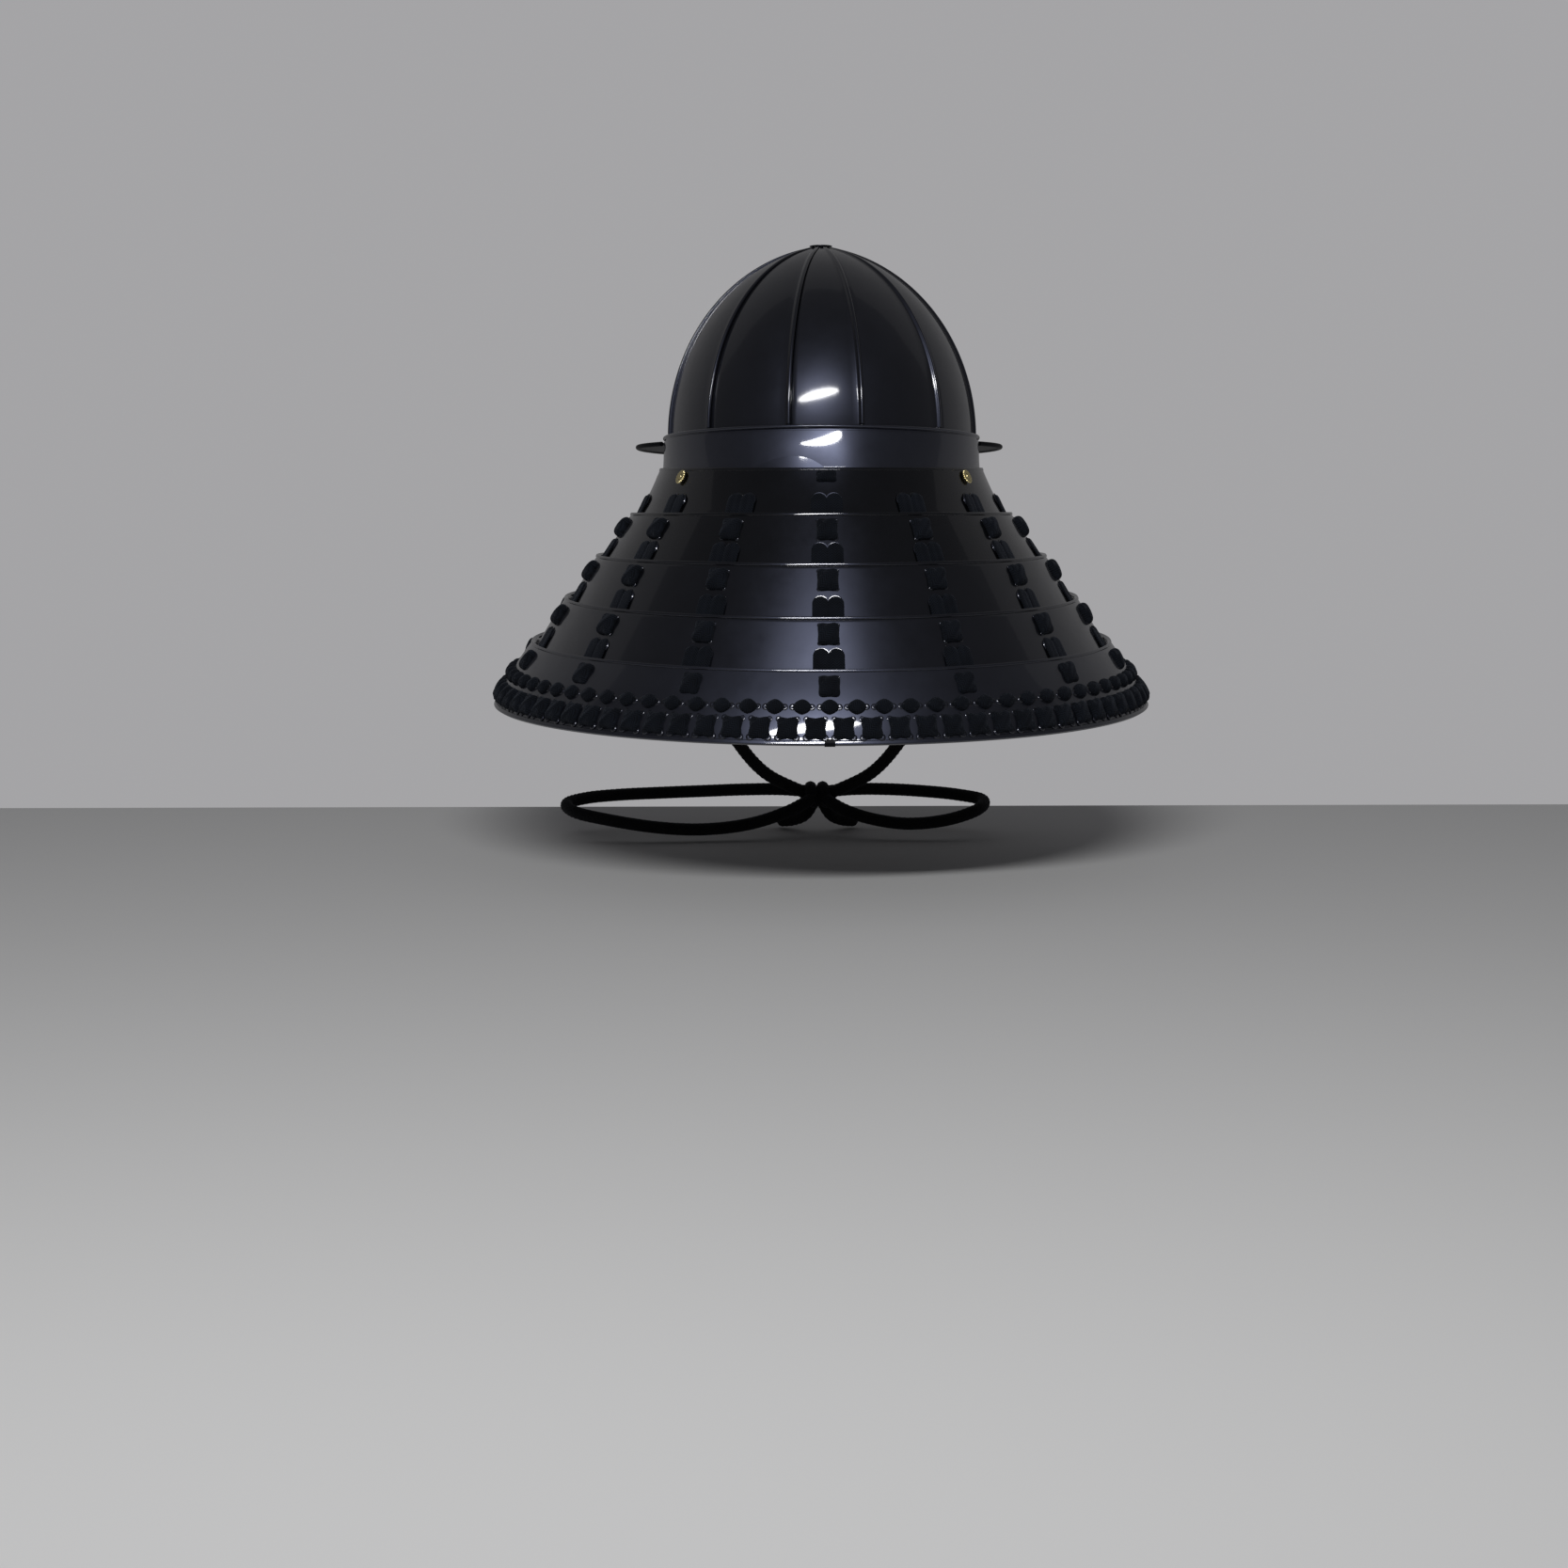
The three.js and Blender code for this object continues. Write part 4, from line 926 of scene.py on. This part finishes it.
square_corners = [(-0.8, -0.8), (0.8, -0.8), (-0.8, 0.8), (0.8, 0.8)]
tongue_share = np.linspace(0, 1, tongue_rows)
tongue_width = lace_half_width * quarter_round(tongue_share, 0.24)
tongue_out = tongue_lift * quarter_round(tongue_share, 0.16, blunt=1) - tongue_sink
slot_reach = 0.01
rims = []
for column in range(-4, 5):
    parts = []
    for lame in range(5):
        angle = column * lace_spacing[lame]
        middle = lame_place(lame, angle)
        for side in (-1, 1):
            place = lame_place(lame, angle + side * lace_shift / middle[5])
            slot = place[4] - pair_slot_above_lap
            first = slot - first_lace_run if lame == 0 else lame_lap
            last = slot if lame < last_lame else knot_below_edge + last_lace_run
            below = np.linspace(first, last, 8)
            parts.append(lace_strip(place, below, 0 * below + lace_inside, 0 * below + lace_half_width))
            if lame < last_lame:
                start, end = slot - tongue_start, place[4] + lame_lap - 0.001
                below = start + tongue_share * (end - slot)
                parts.append(lace_strip(place, below, tongue_out, tongue_width))
        if lame > 0:
            parts.append(crossed_knot(middle, knot_below_edge, knot_size, 0.0003, knot_rise))
            rims += hole_rims(middle, knot_below_edge, knot_size, 0.0, square_corners, 0.68 * rim_radii)
        if lame < last_lame:
            tops = [(-lace_shift / slot_reach, 0), (lace_shift / slot_reach, 0)]
            top = middle[4] - pair_slot_above_lap + slot_rim_drop
            rims += hole_rims(middle, top, (slot_reach, 1), 0.0, tops, slot_radii, slot_heights)
    column_name = f"lace_column_{column + 5}"
    make_piece(f"{column_name}_braided", parts, lace_silk, [column_name], crease=70)

make_piece("lace_hole_rims", rims, bowl_lacquer)

# Stitch rows. Two rows of crossed stitches in the same silk run round the lowest lame, the upper
# ones narrowed to an eye and the lower ones square, set between them.
stitch_spacing = math.radians(4.7)


def stitch_row(name, count, below, size, rise, square, pinch, corners):
    """A row of stitches, evenly spaced either side of the back's middle, over their holes."""
    parts, rims = [], []
    for number in range(count):
        place = lame_place(last_lame, (number - (count - 1) / 2) * stitch_spacing)
        face = lame_bow(last_lame, below / place[4])
        parts.append(crossed_knot(place, below, size, face + 0.0002, face + rise, 5, 20, square, pinch))
        rims += hole_rims(place, below, size, face, corners)
    make_piece(name, parts, lace_silk, crease=70)
    make_piece(f"{name}_rims", rims, bowl_lacquer)


stitch_row(
    "stitch_row_upper", count=45, below=0.0262, size=(0.0064, 0.0052), rise=0.0042, square=1.5,
    pinch=0.0, corners=[(-0.95, 0), (0.95, 0)],
)
stitch_row(
    "stitch_row_lower", count=44, below=0.0405, size=(0.0073, 0.0078), rise=0.0046, square=6.0,
    pinch=0.14, corners=square_corners,
)

# Knot at the back. A smaller knot of the same lace is drawn through the first lame and ties it
# to the hip band.
back_knot_below_edge = 0.0062
back_knot_size = (0.007, 0.0039)
back_knot_heights = (0.0002, 0.004)
back_knot = crossed_knot(
    lame_place(0, 0.0), back_knot_below_edge, back_knot_size, *back_knot_heights, rings=8, sides=36,
)
make_piece("back_knot_crossed", [back_knot], lace_silk, ["back_knot"], crease=70)

# Rivets. Two gilt washers, cut round their edge as a flower of sixteen petals, show behind the
# ears, and two more sit in front. A gilt pin is closed over each, inside and out.
rivet_degrees = [57, -57, 103, -103]
rivet_below_edge = 0.007
petals = 16
washer_rings = np.array([
    # radius and height in millimetres, how deep the petals are cut, in shares of the radius
    [2.2, 0.7, 0], [4.7, 0.7, 0.1], [5.1, 0.95, 0.12], [5.0, 1.3, 0.12],
    [4.4, 1.75, 0.09], [3.5, 2.0, 0.04], [2.7, 1.95, 0], [2.2, 1.6, 0],
])
petal_relief = 0.00025
pin_tail = ([0.1, 2.6, 3.0, 2.9, 1.6], [1.4, 1.4, 1.0, 0, 0])  # radii, and depths past the band
pin_head_radius = 0.0019
gilt_yellow = (0.97, 0.88, 0.52, 1)
gilt_dull = (0.74, 0.6, 0.28, 1)


def band_out(angle):
    """The level way out of the hip band at an angle."""
    return unit(band_point(angle, 1.0, 1.0) - band_point(angle, 1.0, 0.0))


def band_depth(place, angle, below):
    """How deep the hip band's inner face lies behind a point of the first lame, along its out."""
    wall, level = band_point(angle, 1.3, -band_thickness), band_out(angle)
    return float((on_lame(place, 0, below, 0) - wall) @ level / (place[2] @ level)) + 0.0016


def petal_skin(place, below):
    """A washer: rings that narrow as they rise and go back inside its bore.

    Each ring's radius swells and dips sixteen times round, by the root of a cosine's size.
    """
    turn = full_turn(96)[None]
    radii, heights, cuts = (column[:, None] for column in washer_rings.T)
    petal = np.abs(np.cos(petals * turn / 2))
    reach = radii / 1000 * (1 - cuts * (1 - petal**0.6))
    rise = heights / 1000 + petal_relief * petal * (cuts > 0.03)
    return skin(on_lame(place, reach * np.cos(turn), below + reach * np.sin(turn), rise), loops=True)


def pin_skin(place, below, depth):
    """A pin: a flat closed tail inside, its shank, and a round head outside."""
    dome = np.linspace(0, 1.5, 7)
    tail_radii, tail_depths = (np.array(row) / 1000 for row in pin_tail)
    radii = np.r_[tail_radii, 0.0016, pin_head_radius * np.cos(dome)][:, None]
    heights = np.r_[-depth - tail_depths, 0.0013, 0.0017 + 0.0009 * np.sin(dome)][:, None]
    turn = full_turn(40)[None]
    return skin(on_lame(place, radii * np.cos(turn), below + radii * np.sin(turn), heights + 0 * turn))


# The tone and roughness of plain metal, which the gilt and the iron share, vary in patches.
metal_group, nodes, links, given, result = new_group(
    "patchy_metal",
    [
        ("Clean", "NodeSocketColor", gilt_yellow), ("Dull", "NodeSocketColor", gilt_dull),
        ("Scale", "NodeSocketFloat", 500), ("Detail", "NodeSocketFloat", 4),
        ("Smoothest", "NodeSocketFloat", 0.15),
    ],
    [("Color", "NodeSocketColor"), ("Roughness", "NodeSocketFloat")],
)
place = nodes.new("ShaderNodeTexCoord").outputs["Object"]
patches = noise_node(nodes, links, place, given["Scale"], given["Detail"], 0.6)
links.new(mixed_color(nodes, links, patches, given["Clean"], given["Dull"]), result["Color"])
rough = math_node(nodes, links, "MULTIPLY_ADD", patches, 0.3, given["Smoothest"])
links.new(rough, result["Roughness"])
metal_outputs = {"Color": "Base Color", "Roughness": "Roughness"}
gilt, nodes, links, shader = new_material("gilt_washer", Metallic=1.0)
placed_group(nodes, links, metal_group, shader, metal_outputs)

for number, angle in enumerate(np.radians(rivet_degrees), 1):
    place = lame_place(0, angle)
    pin = pin_skin(place, rivet_below_edge, band_depth(place, angle, rivet_below_edge))
    washer = petal_skin(place, rivet_below_edge)
    make_piece(f"rivet_{number}_washer", [washer], gilt, [f"rivet_{number}"])
    make_piece(f"rivet_{number}_pin", [pin], gilt)

# Visor rivets. Three iron rivets fasten the visor's flange to the hip band in front. Each has a
# round head outside, and its tail is closed flat inside.
visor_rivet_degrees = [140, 180, 220]
visor_rivet_seat = 1.12  # down the hip band, as band_point counts it
visor_rivet_tail = ([0.1, 2.6, 2.8, 2.8, 1.5, 1.5], [-5.9, -5.9, -5.6, -4.7, -4.7, 0.2])
visor_rivet_head = (0.003, 0.00175)  # radius and height
iron_brown = (0.012, 0.011, 0.011, 1)
iron_worn = (0.05, 0.04, 0.034, 1)

iron, nodes, links, shader = new_material("dark_iron", Metallic=0.9)
placed_group(
    nodes, links, metal_group, shader, metal_outputs,
    Clean=iron_brown, Dull=iron_worn, Scale=420, Detail=5, Smoothest=0.35,
)
dome = np.linspace(0, 1.5, 8)
tail_radii, tail_heights = (np.array(row) / 1000 for row in visor_rivet_tail)
radii = np.r_[tail_radii, visor_rivet_head[0] * np.cos(dome)][:, None, None]
heights = np.r_[tail_heights, 0.00025 + visor_rivet_head[1] * np.sin(dome)][:, None, None]
turn = full_turn(40)[None, :, None]
for number, angle in enumerate(np.radians(visor_rivet_degrees), 1):
    seat = band_point(angle, visor_rivet_seat, visor_gap + flange_thickness)
    level = band_out(angle)
    beside = unit(np.cross([0, 0, 1.0], level))
    spokes = beside * np.cos(turn) + np.cross(level, beside) * np.sin(turn)
    head = skin(seat + radii * spokes + heights * level)
    make_piece(f"visor_rivet_{number}_head", [head], iron, [f"visor_rivet_{number}"])

# Rim clip. A strip of lacquered iron is folded over the rolled rim at the middle of the back and
# closes its joint.
clip_half_width = 0.0034
clip_room = 0.0017
clip_thickness = 0.0006
clip_overlap = 0.002  # above the middle of the fold

clip_place = lame_place(last_lame, 0.0)
fold = np.linspace(np.pi / 2, -np.pi / 2, 13)
fold_middle = float(clip_place[4]) - rim_radius
clip_top = fold_middle - clip_overlap
clip_ways = []
for reach in (clip_room + clip_thickness, clip_room):
    clip_ways.append((
        np.r_[clip_top, clip_top + 0.001, fold_middle + reach * np.cos(fold),
              clip_top + 0.001, clip_top],
        np.r_[reach, reach, reach * np.sin(fold), -reach, -reach] - lame_thickness / 2,
    ))
below, outwards = (np.r_[outer, inner[::-1]][None] for outer, inner in zip(*clip_ways))
stations = clip_half_width * np.linspace(-1, 1, 9)[:, None]
clip = skin(on_lame(clip_place, stations, below, outwards))
clip_lacquer = lacquer_material("clip_lacquer", coat=0.1, coat_roughness=0.4, ground=0.1, Roughness=0.7)
make_piece("rim_clip_folded", [clip], clip_lacquer, ["rim_clip"])

# Cord tabs. A flat tab of the same silk hangs inside the band from each front rivet's tail, and
# the chin cord's end is whipped to it with thread.
tab_half_width = 0.006
tab_half_thickness = 0.0009
tab_gather = 0.45  # share of its width that the whipping draws in
whipping_radius = 0.0049
whipping_ends = (0.0032, -0.0062)  # above and below the cord's exit
whipping_threads = 8

drop, station = np.linspace(0, 1, 14), np.linspace(0, 1, 40)[:, None]
gathered = 1 - tab_gather * np.clip((drop - 0.6) / 0.4, 0, 1) ** 2
turn = full_turn(24)
wide = rounded(np.cos(turn), 0.6) * (tab_half_width * quarter_round(drop, 0.12) * gathered)[:, None]
thick = rounded(np.sin(turn), 0.8) * tab_half_thickness + 0 * wide
threads = 1 + 0.05 * np.abs(np.sin(whipping_threads * np.pi * station))
thread_ends = 0.8 + 0.2 * np.sqrt(np.clip(12 * np.minimum(station, 1 - station), 0, 1))
reach = whipping_radius * threads * thread_ends
for side in ("left", "right"):
    low, high = (np.array(corner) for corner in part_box(f"cord_tab_{side}"))
    middle = (low + high) / 2
    inward = unit(np.array([-middle[0], -middle[1], 0]))
    along = np.array([-inward[1], inward[0], 0])
    height = (high[2] + (low[2] - 0.0005 - high[2]) * drop)[:, None] + 0 * wide
    spine = np.stack([middle[0] + 0 * wide, middle[1] + 0 * wide, height], -1)
    tab = spine + wide[..., None] * along + thick[..., None] * inward
    uv = np.stack([wide, height], -1).reshape(-1, 2)
    make_piece(f"cord_tab_{side}_woven", [skin(tab, uv=uv)], lace_silk, [f"cord_tab_{side}"])
    x, y, z = cord_routes[f"chin_cord_{side}"][0]
    rise = z + whipping_ends[0] + (whipping_ends[1] - whipping_ends[0]) * station + 0 * turn
    wound = np.stack([x + reach * np.cos(turn), y + reach * np.sin(turn), rise], -1)
    make_piece(f"cord_whipping_{side}", [skin(wound)], silk)

# Floor and backdrop. A pale plain table under the helmet, whose back edge lies just behind it,
# and a plain grey wall that fills the view above.
floor_height = -0.2852
floor_back = -0.2
floor_reach = 6
wall_distance = 4.5
wall_half_width = 17
wall_foot, wall_top = -8.5, 14
wall_color = (0.375, 0.372, 0.382, 1)
wall_mirrored = 0.4  # share of the wall's glow that the lacquer sees


def staged_plane(name, corners, material):
    """A flat stage piece with four corners."""
    mesh = bpy.data.meshes.new(name)
    mesh.from_pydata(corners, [], [(0, 1, 2, 3)])
    mesh.materials.append(material)
    made = bpy.data.objects.new(name, mesh)
    bpy.context.scene.collection.objects.link(made)


wall_grey, nodes, links, shader = new_material(
    "grey_wall", Base_Color=(0, 0, 0, 1), Roughness=1.0, Specular_IOR_Level=0.0,
    Emission_Color=wall_color,
)
seen = nodes.new("ShaderNodeLightPath").outputs["Is Camera Ray"]
glow = math_node(nodes, links, "MULTIPLY_ADD", seen, 1 - wall_mirrored, wall_mirrored)
links.new(glow, shader.inputs["Emission Strength"])
floor_paint = new_material("pale_floor", Base_Color=(0.62, 0.62, 0.62, 1), Roughness=0.8)[0]
staged_plane("floor", [
    (-floor_reach, floor_back, floor_height), (floor_reach, floor_back, floor_height),
    (floor_reach, floor_reach, floor_height), (-floor_reach, floor_reach, floor_height),
], floor_paint)
staged_plane("wall", [
    (-wall_half_width, -wall_distance, wall_foot), (-wall_half_width, -wall_distance, wall_top),
    (wall_half_width, -wall_distance, wall_top), (wall_half_width, -wall_distance, wall_foot),
], wall_grey)

# Lights. One long oval panel, tilted a little, stands above and beside the camera, where the
# lacquer's highlights ask for it, and a dim even room fills the rest.
key_height = math.radians(31.5)
key_aside = math.radians(5)
key_distance = 2.4
key_tilt = math.radians(12)
key_size = (1.4, 0.23)
key_power = 30
room_grey = (0.085, 0.085, 0.09, 1)

key = bpy.data.lights.new("key", "AREA")
key.shape = "ELLIPSE"
key.size, key.size_y = key_size
key.energy = key_power
panel = bpy.data.objects.new("key", key)
panel.location = key_distance * np.array([
    math.sin(key_aside) * math.cos(key_height), math.cos(key_aside) * math.cos(key_height),
    math.sin(key_height),
])
panel.rotation_mode = "QUATERNION"
facing = mathutils.Vector(panel.location).to_track_quat("Z", "Y")
panel.rotation_quaternion = facing @ mathutils.Quaternion((0, 0, 1), key_tilt)
bpy.context.scene.collection.objects.link(panel)
world = bpy.data.worlds.new("room")
world.use_nodes = True
world.node_tree.nodes["Background"].inputs["Color"].default_value = room_grey
bpy.context.scene.world = world
bpy.context.scene.view_settings.view_transform = "Standard"
